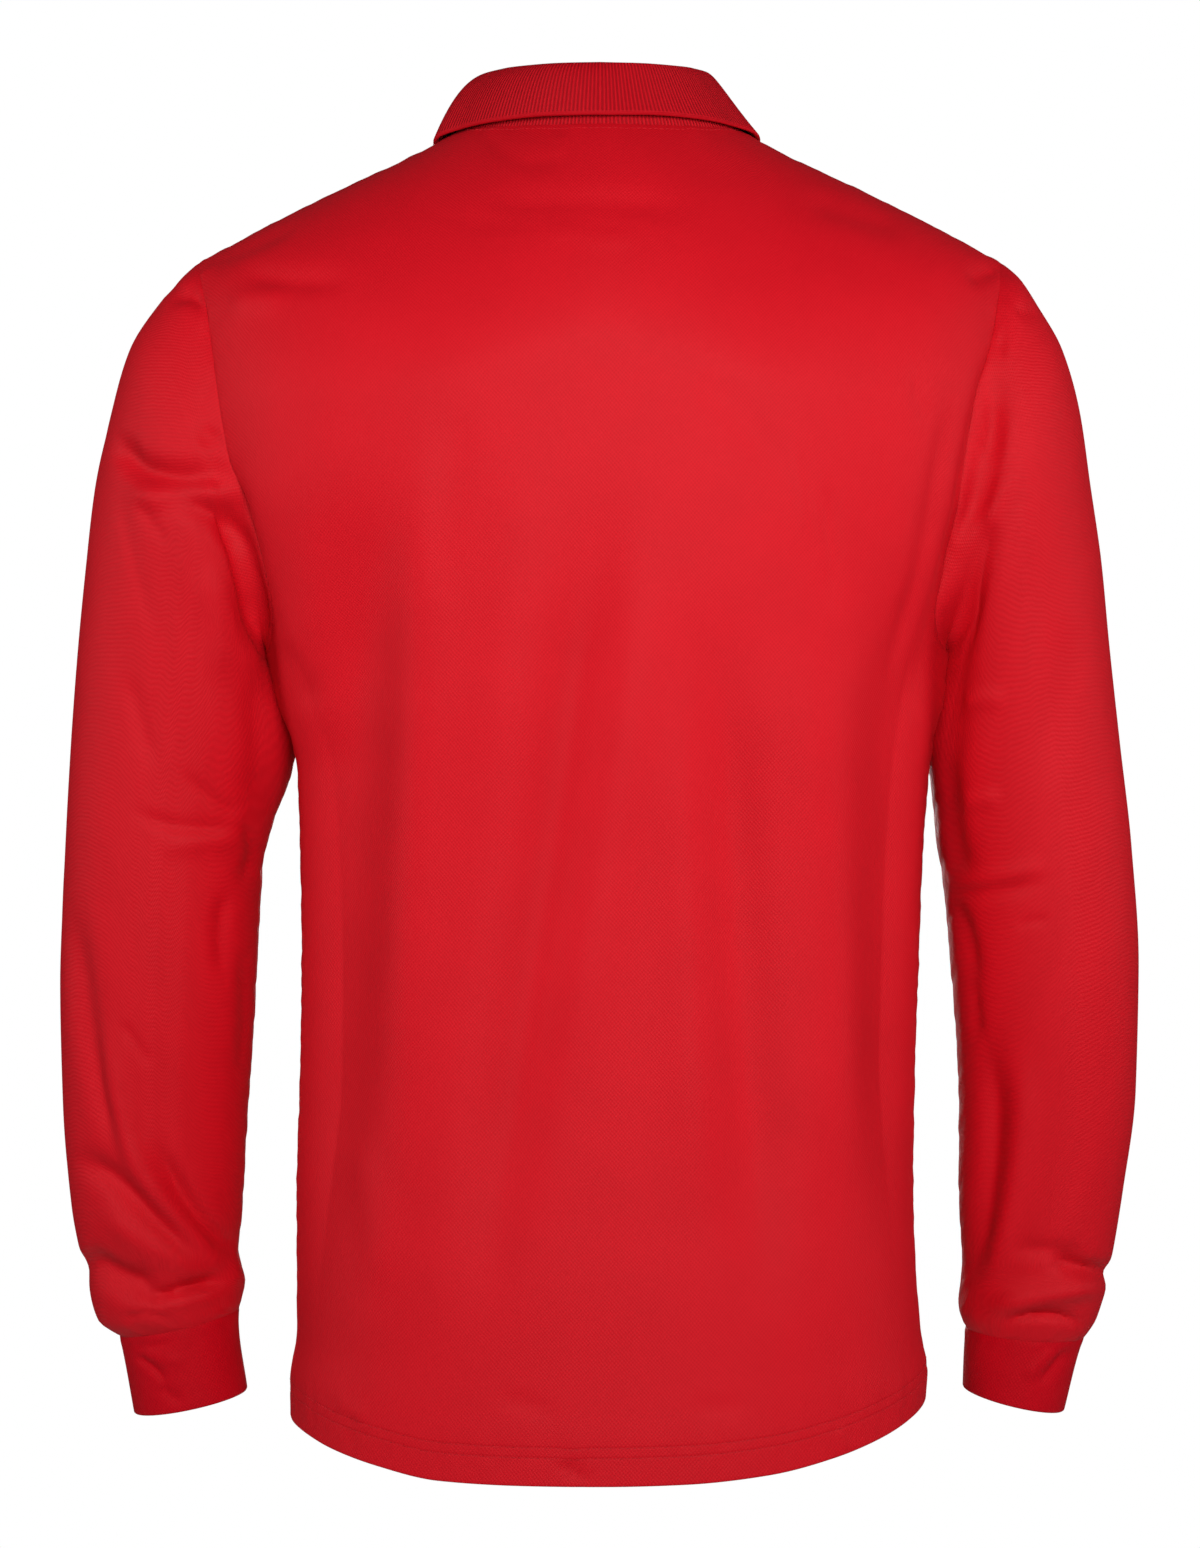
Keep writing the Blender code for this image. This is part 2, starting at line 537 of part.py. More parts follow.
def build_placket(torso):
    """Both strips are read from the front panel's own points: the under one fills the slit, the
    upper one lies over it and over the slit's edges."""
    grid, out = torso["front"]
    middle = NECK_CELLS + SHOULDER_CELLS
    first, last = LOW_ROWS + PLACKET_ROW, LOW_ROWS + ARM_ROWS
    top = last - 1 + PLACKET_TOP_SHARE
    tall = np.linalg.norm(grid[first, middle] - grid[first - 1, middle])
    wide = np.linalg.norm(grid[first, middle + 2] - grid[first, middle + 1])
    down, side = PLACKET_OVERLAP / tall, 1 + PLACKET_OVERLAP / wide
    up, inside = SEAM_GAP / tall, 1 - SEAM_GAP / PLACKET_HALF_WIDTH
    rows_top = [first - down] + list(range(first, last)) + [top]
    rows_under = [first + up] + list(range(first + 1, last)) + [top]
    over = CLOTH / 2 + SEAM_GAP + PLACKET_CLOTH / 2
    cases = (
        ("placket_top", rows_top, (-side, -1, 0, 1, side), over),
        ("placket_under", rows_under, (-inside, 0, inside), 0.0),
    )
    for name, rows, cols, lift in cases:
        points = np.array([[between(grid, j, middle + i) for i in cols] for j in rows])
        ways = np.array([[between(out, j, middle + i) for i in cols] for j in rows])
        ways /= np.linalg.norm(ways, axis=2, keepdims=True)
        wall(name, points + ways * lift, ways, PLACKET_CLOTH, RED)
    return over + PLACKET_CLOTH / 2


def build_buttons(torso, surface):
    """Turned discs with four holes, flat on the upper strip, down the middle of the front."""
    grid = torso["front"][0]
    middle = NECK_CELLS + SHOULDER_CELLS
    heights = grid[:, middle, 2]
    for number, drop in enumerate(BUTTON_DROPS, 1):
        z = FRONT_NECK_Z - drop
        j = int(np.searchsorted(heights, z)) - 1
        row = j + (z - heights[j]) / (heights[j + 1] - heights[j])
        up = grid[j + 1, middle] - grid[j, middle]
        up /= np.linalg.norm(up)
        axis = np.cross(up, [1.0, 0.0, 0.0])
        axis *= np.sign(-axis[1])
        centre = between(grid, row, middle) + axis * (surface + SEAM_GAP + BUTTON_THICK / 2)
        name = f"button_{number}"
        disc = prism(name, centre, up, axis, BUTTON_RADIUS, BUTTON_THICK, BUTTON_SIDES, [(0, 0)])
        spread = BUTTON_HOLE_SPREAD
        places = [(a * spread, b * spread) for a in (-1, 1) for b in (-1, 1)]
        holes = prism(name + "_holes", centre, up, axis, BUTTON_HOLE, 2 * BUTTON_THICK, HOLE_SIDES, places)
        holes.hide_render = True
        holes.display_type = "WIRE"
        cut = disc.modifiers.new("holes", "BOOLEAN")
        cut.operation = "DIFFERENCE"
        cut.object = holes


def prism(name, centre, up, axis, radius, height, sides, places):
    """Upright round discs on one plane, each a prism with the given number of sides."""
    across = np.cross(up, axis)
    verts, faces = [], []
    for a, b in places:
        start = len(verts)
        for end in (-0.5, 0.5):
            for k in range(sides):
                turn = 2 * math.pi * k / sides
                reach = across * (a + radius * math.cos(turn)) + up * (b + radius * math.sin(turn))
                verts.append(centre + reach + axis * height * end)
        low = list(range(start, start + sides))
        high = [v + sides for v in low]
        faces += [tuple(low[::-1]), tuple(high)]
        for k in range(sides):
            m = (k + 1) % sides
            faces.append((low[k], low[m], high[m], high[k]))
    return solid(name, verts, faces, DEEP_RED)


def bezier(points, t):
    """A cubic curve through the first and last of four points, drawn towards the other two."""
    a, b, c, d = points
    return a * (1 - t) ** 3 + 3 * b * t * (1 - t) ** 2 + 3 * c * t * t * (1 - t) + d * t**3


def neck_point(turn):
    """Point of the neck seam at a turn about the neck from the middle of the back."""
    back = turn <= math.pi / 2
    x, z = neckline(turn if back else math.pi - turn, back)
    return np.array([x, float(body_y(np.array(x), np.array(z), back)), z])


def build_collar(torso):
    """One knitted strip: the stand rises from the neck seam and leans inwards, rolls over at the
    fold, and the leaf falls outside it, held off the shoulders and the chest by their thickness."""
    turns = column(COLLAR, COLLAR_COLUMNS, "turn")
    trees = []
    for name, (grid, _) in torso.items():
        rows, cols = grid.shape[:2]
        quads = [
            (j * cols + i, j * cols + i + 1, (j + 1) * cols + i + 1, (j + 1) * cols + i)
            for j in range(rows - 1)
            for i in range(cols - 1)
        ]
        tree = BVHTree.FromPolygons(grid.reshape(-1, 3).tolist(), quads)
        trees.append((tree, -1 if name == "back" else 1))
    halves = []
    for side, leaf_shape in ((1, LEAF_LEFT), (-1, LEAF_RIGHT)):
        sections = [
            collar_section(turn, turns, side, leaf_shape, trees)
            for turn in np.linspace(0, turns[-1], COLLAR_STATIONS + 1)
        ]
        halves.append(np.array(sections))
    halves[0][0] = (halves[0][0] + halves[1][0]) / 2
    points = np.concatenate([halves[1][:0:-1], halves[0]])
    wall("collar", points, collar_outward(points), RIB, DEEP_RED)


def collar_section(turn, turns, side, leaf_shape, trees):
    """Points of the collar across its width at one turn about the neck: the stand from its foot
    to the top of the fold, then the leaf to its free edge."""
    value = {n: float(smooth(np.array(turn), turns, column(COLLAR, COLLAR_COLUMNS, n))) for n in COLLAR_COLUMNS}
    seam = neck_point(math.radians(turn))
    fold = np.array([value["fold_x"], value["fold_y"], value["fold_z"]])
    level, bend_out, bend_down, reach = leaf_shape
    inset = value["edge_x"] * (1 - reach)
    edge = np.array([value["edge_x"] - inset, value["edge_y"], value["edge_z"] + inset * SHOULDER_SLOPE])
    spread = (edge - fold) * np.array([1, 1, 0])
    drop = (edge - fold) * np.array([0, 0, 1])
    inwards = -spread / np.linalg.norm(spread)
    rise = (fold - seam) / np.linalg.norm(fold - seam)
    foot = seam + rise * COLLAR_LIFT
    stand = (foot, foot + (fold - foot) * 0.5, fold + inwards * ROLL_IN, fold)
    leaf = (fold, fold + spread * level, fold + spread * bend_out + drop * bend_down, edge)
    mirror = np.array([side, 1, 1])
    section = [bezier(stand, t) * mirror for t in STAND_STEPS]
    return section + [off_body(bezier(leaf, t) * mirror, trees) for t in LEAF_STEPS]


def collar_outward(points):
    """Directions of the collar's wall: on the stand they point into the neck, on the leaf out."""
    out = normals(points)
    leaf = out[COLLAR_STATIONS, -1]
    return out * np.sign(leaf[1])


def off_body(point, trees):
    """The point, moved out along the nearest panel's direction until the leaf clears it."""
    best = None
    for tree, facing in trees:
        place, way, _, gap = tree.find_nearest(point.tolist())
        if best is None or gap < best[2]:
            best = (np.array(place), np.array(way) * facing, gap)
    place, way, _ = best
    height = float(np.dot(point - place, way))
    return place + way * LEAF_CLEARANCE if height < LEAF_CLEARANCE else point


def main():
    for old in list(bpy.data.objects):
        bpy.data.objects.remove(old)
    torso = build_body()
    surface = build_placket(torso)
    build_buttons(torso, surface)
    build_collar(torso)


main()
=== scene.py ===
# %% [markdown]
# # A long-sleeve polo shirt, filled out as it is worn
# The shirt is seen from behind. Every piece that a maker cuts and sews is one mesh: back, front,
# sleeves, cuffs, collar and two placket strips, and then the buttons and the sewing. Cloth could be
# simulated, but the creases of this shirt are known from its photograph, so each piece is a thin
# shell worked out from a few tables of sizes, and its creases are drawn one by one.
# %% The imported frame, and its box
import math

import bpy
import numpy as np
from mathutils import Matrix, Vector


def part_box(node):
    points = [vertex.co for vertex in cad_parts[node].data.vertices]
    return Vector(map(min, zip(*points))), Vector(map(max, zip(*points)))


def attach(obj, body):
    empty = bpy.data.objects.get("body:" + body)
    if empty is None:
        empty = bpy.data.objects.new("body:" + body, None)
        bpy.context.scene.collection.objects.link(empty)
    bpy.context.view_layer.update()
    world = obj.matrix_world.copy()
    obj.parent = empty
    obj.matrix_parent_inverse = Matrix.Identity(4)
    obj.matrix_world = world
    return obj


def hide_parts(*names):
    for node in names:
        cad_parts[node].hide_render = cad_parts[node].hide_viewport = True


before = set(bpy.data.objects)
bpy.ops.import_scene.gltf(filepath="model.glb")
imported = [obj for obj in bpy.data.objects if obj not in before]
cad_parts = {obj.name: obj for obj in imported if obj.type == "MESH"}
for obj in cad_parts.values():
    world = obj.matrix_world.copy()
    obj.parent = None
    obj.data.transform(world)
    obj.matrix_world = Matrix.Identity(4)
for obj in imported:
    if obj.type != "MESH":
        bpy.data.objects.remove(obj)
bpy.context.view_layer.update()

# %% [markdown]
# ## The camera
# The camera stands 2.4 m behind the shirt, level, a little below the shoulders. A long lens with a
# small downward shift gives the same frame without tilting the picture, so that upright lines stay
# upright. The values below also tell where any point of the cloth falls in the photograph, which
# the creases use later.
# %% Camera
PHOTO_TALL = 1548  # pixels
CAMERA_FAR = 2.4  # metres behind the middle of the shirt
SCALE = 1780  # pixels for a metre, at the middle of the shirt
HORIZON_ROW, NECK_ROW, MIDDLE_COLUMN = 600, 126.3, 600  # eye level, z = 0 and x = 0
FOCAL = SCALE * CAMERA_FAR
EYE_Z = (NECK_ROW - HORIZON_ROW) / SCALE

lens = bpy.data.cameras.new("camera")
lens.sensor_width = 36
lens.lens = FOCAL * lens.sensor_width / PHOTO_TALL
lens.shift_y = (HORIZON_ROW - PHOTO_TALL / 2) / PHOTO_TALL
camera = bpy.data.objects.new("camera", lens)
camera.location = (0, CAMERA_FAR, EYE_Z)
camera.rotation_euler = (math.pi / 2, 0, math.pi)
bpy.context.scene.collection.objects.link(camera)
bpy.context.scene.camera = camera
print(f"camera: {lens.lens:.1f} mm lens, eye at {EYE_Z:.3f} m")

# %% [markdown]
# ## Sizes
# The tables hold the shirt's form, in metres: sections of the body from hem to neck, the line of
# the shoulder, the armhole and the hem, and sections of both sleeves. A table is kept as its named
# columns. Between two rows a smooth curve is read that never swings past them, because a curve
# that swings would put waves into the cloth.
# %% Tables of the body


def table(columns, *rows):
    """Named columns of a table of numbers."""
    return dict(zip(columns.split(), np.array(rows).T))


CLOTH = 0.0016  # where the outer skin lies: half of this outside the middle surface
BODY = table(
    "z left right back front",
    (-0.742, 0.1728, 0.1816, 0.122, 0.116),
    (-0.716, 0.1725, 0.1814, 0.122, 0.116),
    (-0.699, 0.1725, 0.1825, 0.121, 0.116),
    (-0.676, 0.1691, 0.1791, 0.120, 0.115),
    (-0.640, 0.1694, 0.1763, 0.119, 0.114),
    (-0.598, 0.1697, 0.1752, 0.117, 0.113),
    (-0.530, 0.1678, 0.1763, 0.115, 0.112),
    (-0.463, 0.1669, 0.1786, 0.114, 0.112),
    (-0.410, 0.1677, 0.1806, 0.115, 0.114),
    (-0.362, 0.1693, 0.1843, 0.118, 0.117),
    (-0.328, 0.1763, 0.1883, 0.120, 0.120),
    (-0.296, 0.1838, 0.1918, 0.121, 0.122),
    (-0.250, 0.1960, 0.2010, 0.123, 0.124),
    (-0.200, 0.2150, 0.2165, 0.124, 0.124),
    (-0.160, 0.2225, 0.2235, 0.123, 0.121),
    (-0.120, 0.2265, 0.2280, 0.121, 0.116),
    (-0.076, 0.2350, 0.2350, 0.119, 0.110),
    (0.040, 0.2350, 0.2350, 0.117, 0.104),
)
SECTION_POWER = 2.4  # how square the sections are, 2 is an ellipse
ARMHOLE = table(
    "z left right front_in",
    (-0.296, 0.1838, 0.1918, 0.000),
    (-0.276, 0.1838, 0.1905, 0.003),
    (-0.250, 0.1868, 0.1938, 0.007),
    (-0.220, 0.1955, 0.1993, 0.010),
    (-0.190, 0.2030, 0.2038, 0.011),
    (-0.157, 0.2090, 0.2094, 0.010),
    (-0.131, 0.2130, 0.2150, 0.007),
    (-0.106, 0.2175, 0.2195, 0.004),
    (-0.0765, 0.2255, 0.2255, 0.000),
)
UNDERARM_Z = -0.296
SHOULDER_X, SHOULDER_Z = 0.2255, -0.0765
SHOULDER = table(
    "x z",
    (0.000, 0.0300),
    (0.030, 0.0215),
    (0.078, -0.0015),
    (0.1006, -0.0141),
    (0.1478, -0.0366),
    (0.1927, -0.0591),
    (0.2129, -0.0700),
    (0.2255, -0.0765),
    (0.2400, -0.0850),
)
SHOULDER_SLOPE = 0.56
SHOULDER_SEAM_Y = -0.010
TURN = table(
    "x drop_back drop_front power",
    (0.00, 0.155, 0.235, 1.55),
    (0.08, 0.145, 0.200, 1.60),
    (0.14, 0.125, 0.150, 1.80),
    (0.20, 0.105, 0.115, 1.95),
    (0.24, 0.100, 0.105, 2.00),
)
NECK_HALF_WIDTH, BACK_NECK_Z, FRONT_NECK_Z, NECK_SWEEP = 0.078, -0.0040, -0.0860, 1.6
HEM = table(
    "share left right",
    (0.00, -0.7392, -0.7392),
    (0.25, -0.7390, -0.7384),
    (0.50, -0.7380, -0.7350),
    (0.70, -0.7328, -0.7285),
    (0.85, -0.7274, -0.7213),
    (0.95, -0.7228, -0.7150),
    (1.00, -0.7212, -0.7112),
)
HEM_FRONT_Z = -0.7320
PLACKET_HALF_WIDTH = 0.016
LOW, ARM, NECK_CELLS, SIDE_CELLS = 7, 12, 6, 12  # the pattern's coarse cells, up and across
print("body table:", len(BODY["z"]), "sections, hem to neck", HEM["left"][0], BACK_NECK_Z)

# %% Tables of the sleeves and cuffs, outline from behind, depth of the middle, half depth
ARM_COLUMNS = "out_x out_z in_x in_z mid_y half_y"
SLEEVES = {
    "left": table(
        ARM_COLUMNS,
        (0.2352, -0.0865, 0.1885, -0.2945, -0.003, 0.0570),
        (0.2450, -0.0972, 0.1886, -0.2985, -0.005, 0.0605),
        (0.2640, -0.1251, 0.1846, -0.3100, -0.010, 0.0640),
        (0.2760, -0.1643, 0.1794, -0.3280, -0.016, 0.0650),
        (0.2852, -0.2038, 0.1762, -0.3460, -0.022, 0.0645),
        (0.2908, -0.2480, 0.1770, -0.3660, -0.026, 0.0630),
        (0.2958, -0.2960, 0.1848, -0.3880, -0.029, 0.0600),
        (0.3000, -0.3500, 0.1922, -0.4150, -0.031, 0.0575),
        (0.3035, -0.4100, 0.1952, -0.4560, -0.033, 0.0555),
        (0.3068, -0.4830, 0.1978, -0.5090, -0.036, 0.0520),
        (0.3058, -0.5520, 0.2020, -0.5570, -0.041, 0.0480),
        (0.3015, -0.6120, 0.2055, -0.6120, -0.046, 0.0445),
        (0.2930, -0.6560, 0.2085, -0.6480, -0.050, 0.0410),
        (0.2870, -0.6780, 0.2072, -0.6670, -0.051, 0.0375),
        (0.2749, -0.6868, 0.2078, -0.6725, -0.052, 0.0345),
    ),
    "right": table(
        ARM_COLUMNS,
        (0.2352, -0.0860, 0.1958, -0.2945, -0.003, 0.0570),
        (0.2450, -0.1005, 0.1962, -0.2985, -0.005, 0.0605),
        (0.2595, -0.1251, 0.1945, -0.3120, -0.010, 0.0640),
        (0.2698, -0.1587, 0.1920, -0.3290, -0.016, 0.0650),
        (0.2767, -0.2009, 0.1900, -0.3480, -0.022, 0.0645),
        (0.2834, -0.2440, 0.1890, -0.3680, -0.026, 0.0630),
        (0.2884, -0.2920, 0.1907, -0.3960, -0.029, 0.0600),
        (0.2945, -0.3460, 0.1962, -0.4290, -0.031, 0.0575),
        (0.3015, -0.4060, 0.2000, -0.4680, -0.033, 0.0555),
        (0.3060, -0.4750, 0.2041, -0.5170, -0.036, 0.0520),
        (0.3050, -0.5450, 0.2060, -0.5580, -0.041, 0.0480),
        (0.2985, -0.6020, 0.2063, -0.6030, -0.046, 0.0445),
        (0.2908, -0.6504, 0.2082, -0.6458, -0.050, 0.0410),
        (0.2840, -0.6770, 0.2065, -0.6720, -0.051, 0.0375),
        (0.2772, -0.6880, 0.2106, -0.6830, -0.052, 0.0345),
    ),
}
CUFFS = {
    "left": table(
        ARM_COLUMNS,
        (0.2730, -0.6955, 0.2081, -0.6815, -0.0525, 0.0338),
        (0.2668, -0.7325, 0.2035, -0.7200, -0.0560, 0.0325),
    ),
    "right": table(
        ARM_COLUMNS,
        (0.2745, -0.6950, 0.2101, -0.6880, -0.0525, 0.0338),
        (0.2658, -0.7310, 0.2093, -0.7185, -0.0560, 0.0325),
    ),
}
print("sleeve tables:", {side: len(rows["out_x"]) for side, rows in SLEEVES.items()})

# %% A smooth reading of a table


def smooth(at, xs, ys):
    """Monotone cubic through (xs, ys). The tangent at an inner point is the harmonic mean of the
    slopes beside it, or level where they change sign. ys may hold whole rings of points."""
    at = np.clip(at, xs[0], xs[-1])
    more = (Ellipsis,) + (None,) * (ys.ndim - 1)
    step = np.diff(xs)
    slope = np.diff(ys, axis=0) / step[more]
    same = slope[:-1] * slope[1:] > 0
    mean = 2 * slope[:-1] * slope[1:] / np.where(same, slope[:-1] + slope[1:], 1)
    tangent = np.concatenate([slope[:1], np.where(same, mean, 0), slope[-1:]])
    k = np.clip(np.searchsorted(xs, at, side="right") - 1, 0, len(xs) - 2)
    t, width = ((at - xs[k]) / step[k])[more], step[k][more]
    return (
        ys[k] * (1 + 2 * t) * (1 - t) ** 2
        + ys[k + 1] * t * t * (3 - 2 * t)
        + width * (tangent[k] * t * (1 - t) ** 2 - tangent[k + 1] * t * t * (1 - t))
    )


def both_sides(x, xs, ys):
    """A table from the middle outwards, read on either side, level where it crosses the middle."""
    return smooth(x, np.concatenate([-xs[:0:-1], xs]), np.concatenate([ys[:0:-1], ys]))


def by_side(side, left, right):
    return np.where(side >= 0, left, right)


# %% [markdown]
# ## The torso
# A shirt's body is two flat panels sewn at the sides and shoulders. Worn, they make one soft tube.
# Each panel here is a grid of points (row up, column across). The depth of a point is the depth of
# the body's section at its height, times a superellipse across it, rounded over towards the
# shoulder seam. The grid follows the cut: its last column is the side seam and the armhole, and
# its last row is the neck and the shoulder seam.
# %% Depth of the torso, and its neckline


def shoulder_z(x):
    return both_sides(x, SHOULDER["x"], SHOULDER["z"])


def body_y(x, z, back):
    """Depth = section depth x superellipse across x rounding under the shoulder."""
    depth = smooth(z, BODY["z"], BODY["back" if back else "front"])
    half = by_side(x, smooth(z, BODY["z"], BODY["left"]), smooth(z, BODY["z"], BODY["right"]))
    across = np.clip(1 - (np.abs(x) / half) ** SECTION_POWER, 0, 1) ** (1 / SECTION_POWER)
    drop = both_sides(x, TURN["x"], TURN["drop_back" if back else "drop_front"])
    power = both_sides(x, TURN["x"], TURN["power"])
    under = np.clip((shoulder_z(x) - z) / drop, 0, 1)
    turn = (1 - (1 - under) ** power) ** (1 / power)
    return SHOULDER_SEAM_Y * (1 - turn) + depth * across * (1 if back else -1) * turn


def neckline(turn, back):
    """The neck seam at an angle from the middle: an ellipse, swept up late at the back."""
    top = shoulder_z(np.array(NECK_HALF_WIDTH))
    middle, sweep = (BACK_NECK_Z, NECK_SWEEP) if back else (FRONT_NECK_Z, 1)
    return NECK_HALF_WIDTH * np.sin(turn), top + (middle - top) * np.abs(np.cos(turn)) ** sweep


# %% A panel as a grid


def panel(back, rows, cols):
    """Points of the back or front. rows counts coarse cells up from the hem, cols counts them
    from the middle, negative on the wearer's right; both may be fractions."""
    side, count = np.where(cols < 0, -1.0, 1.0), np.abs(cols)
    inner, strip = (0.0, 0) if back else (PLACKET_HALF_WIDTH, 1)
    share = np.clip((count - strip) / (SIDE_CELLS - strip), 0, 1)
    low = np.sin(share * np.pi / 2) ** (2 / SECTION_POWER)
    first = math.asin(inner / NECK_HALF_WIDTH)
    turn = first + (count - strip) / (NECK_CELLS - strip) * (np.pi / 2 - first)
    turn = np.where(count < strip, np.arcsin(inner * count / NECK_HALF_WIDTH), turn)
    neck_x, neck_z = neckline(np.clip(turn, 0, np.pi / 2), back)
    along = np.clip(count / NECK_CELLS - 1, 0, 1)
    top_x = np.where(along > 0, NECK_HALF_WIDTH + (SHOULDER_X - NECK_HALF_WIDTH) * along, neck_x)
    top_z = np.where(along > 0, shoulder_z(top_x), neck_z)
    high = np.clip((top_x - inner) / (SHOULDER_X - inner), 0, 1)
    hem_z = np.empty_like(low)
    for name, here in (("left", side > 0), ("right", side < 0)):
        z = both_sides(low, HEM["share"], HEM[name])
        ends = HEM[name][0], HEM[name][-1]
        if not back:
            z = ends[1] + (z - ends[1]) * (HEM_FRONT_Z - ends[1]) / (ends[0] - ends[1])
        hem_z[here] = z[here]
    rows = rows[:, None]
    up = (1 - np.cos(np.pi * np.clip((rows - LOW) / ARM, 0, 1))) / 2
    high_z = UNDERARM_Z + (top_z - UNDERARM_Z) * up
    z = np.where(rows > LOW, high_z, hem_z + (UNDERARM_Z - hem_z) * rows / LOW)
    seam_z = UNDERARM_Z + (SHOULDER_Z - UNDERARM_Z) * up
    arm_in = 0 if back else smooth(seam_z, ARMHOLE["z"], ARMHOLE["front_in"])
    edges = {}
    for name in ("left", "right"):
        armhole = smooth(seam_z, ARMHOLE["z"], ARMHOLE[name]) - arm_in
        edges[name] = np.where(rows > LOW, armhole, smooth(z, BODY["z"], BODY[name]))
    edge = by_side(side, edges["left"], edges["right"])
    outer = inner + (edge - inner) * (low * (1 - up) + high * up)
    x = side * np.where(count < strip, inner * count, outer)
    return np.stack([x, body_y(x, z, back), z], axis=-1)


# %% [markdown]
# ## Directions and lengths
# A wall of cloth needs an outward direction at every point, and a weave needs to know how much
# cloth lies between two points, because threads neither stretch nor shrink over a fold. Both come
# from the grid itself: the cross product of its two directions, and running sums of its steps.
# %% Grid helpers


def normals(points, closed=False):
    """Unit cross product of the differences along and across the grid."""
    along = np.gradient(points, axis=0)
    if closed:
        across = np.roll(points, -1, axis=1) - np.roll(points, 1, axis=1)
    else:
        across = np.gradient(points, axis=1)
    cross = np.cross(along, across)
    return cross / np.maximum(np.linalg.norm(cross, axis=-1, keepdims=True), 1e-12)


def running(points, axis):
    """Running length of cloth along one direction of a grid, from zero."""
    step = np.linalg.norm(np.diff(points, axis=axis), axis=-1)
    start = np.zeros_like(np.take(step, [0], axis=axis))
    return np.concatenate([start, np.cumsum(step, axis=axis)], axis=axis)


def between(grid, rows, cols):
    """A grid read at fractions of its rows and columns: the mean of the four points around each,
    weighted by nearness."""
    j = np.clip(rows.astype(int), 0, grid.shape[0] - 2)
    i = np.clip(cols.astype(int), 0, grid.shape[1] - 2)
    b, a = (rows - j)[..., None], (cols - i)[..., None]
    low = grid[j, i] * (1 - a) + grid[j, i + 1] * a
    return low * (1 - b) + (grid[j + 1, i] * (1 - a) + grid[j + 1, i + 1] * a) * b


def interpolated(at, xs, points):
    """Points on a line, read between their places xs."""
    return np.stack([np.interp(at, xs, points[:, n]) for n in range(3)], 1)


def mitre(one, other, most=2.2):
    """The direction half way between two, long enough that both walls keep their thickness."""
    both = one + other
    both = both / np.maximum(np.linalg.norm(both, axis=-1, keepdims=True), 1e-9)
    return both / np.maximum(np.sum(both * one, axis=-1, keepdims=True), 1 / most)


# %% [markdown]
# ## Creases
# Worn cotton pique is thick and soft, so it falls in a few broad drapes, with sharp creases only
# where it is pushed together: at the elbows, above the cuffs and under the arms. Each row of the
# tables below is one of them, as a curve through three points (column, row) of the picture it is
# seen in. The back's come from the photograph. The front and the outer sides are hidden, so theirs
# are made up to match, as if from pictures taken at the same distance from there. A negative
# height is a trough. Lean makes one side steeper.
# %% Where a point falls in a picture from each side
# for each side: the axis looked along and its sign, the axis across the picture and its way
VIEWS = {"back": (1, 1, 0, -1), "front": (1, -1, 0, 1), "left": (0, 1, 1, 1), "right": (0, -1, 1, -1)}


def seen(points, view):
    """Column and row of each point, in a picture from that side at the photograph's distance."""
    axis, sign, across, way = VIEWS[view]
    size = FOCAL / (CAMERA_FAR - sign * points[..., axis])
    column = MIDDLE_COLUMN + way * size * points[..., across]
    return np.stack([column, HORIZON_ROW - size * (points[..., 2] - EYE_Z)], axis=-1)


CREASE_STEPS = 8
CREASE_FADE = 0.3  # share of a crease's length at either end over which it fades
SLEEVE_WRAP = 0.35  # how much further round a sleeve than round a panel a crease is seen
MILLIMETRE = 0.001


def crease(place, curve, reach, lean):
    """Bell of the distance from the curve over its reach, faded in and out along it."""
    start, middle, end = (np.array(p, float) for p in curve)
    bend = 2 * middle - (start + end) / 2
    t = np.linspace(0, 1, CREASE_STEPS + 1)[:, None]
    line = start * (1 - t) ** 2 + 2 * bend * t * (1 - t) + end * t * t
    leg = np.diff(line, axis=0)
    away = place[..., None, :] - line[:-1]
    k = np.clip(np.sum(away * leg, -1) / np.sum(leg * leg, -1), 0, 1)
    off = away - k[..., None] * leg
    far = np.linalg.norm(off, axis=-1)
    nearest = np.argmin(far, axis=-1)[..., None]
    pick = lambda values: np.take_along_axis(values, nearest, -1)[..., 0]
    s = pick(far) / reach
    hand = np.sign(pick(leg[:, 0] * off[..., 1] - leg[:, 1] * off[..., 0]))
    s = s * (1 + lean * np.tanh(2 * s * hand))
    along = (pick(k) + nearest[..., 0]) / CREASE_STEPS
    taper = np.clip(np.minimum(along, 1 - along) / CREASE_FADE, 0, 1)
    return np.exp(-s * s) * taper * taper * (3 - 2 * taper)


def draped(piece, points, out, still=1.0):
    """The points moved along their outward directions by every crease of that piece."""
    lift = np.zeros(points.shape[:2])
    for view, (axis, sign, _, _) in VIEWS.items():
        rows = CREASES.get((piece, view), ())
        place = seen(points, view)
        wrap = 0.0 if piece in ("back", "front") else SLEEVE_WRAP
        facing = np.clip((sign * out[..., axis] + wrap) / (0.5 + wrap / 2), 0, 1)
        for *curve, reach, height, lean in rows:
            lift += facing * height * MILLIMETRE * crease(place, curve, reach, lean)
    return points + out * (lift * still)[..., None]


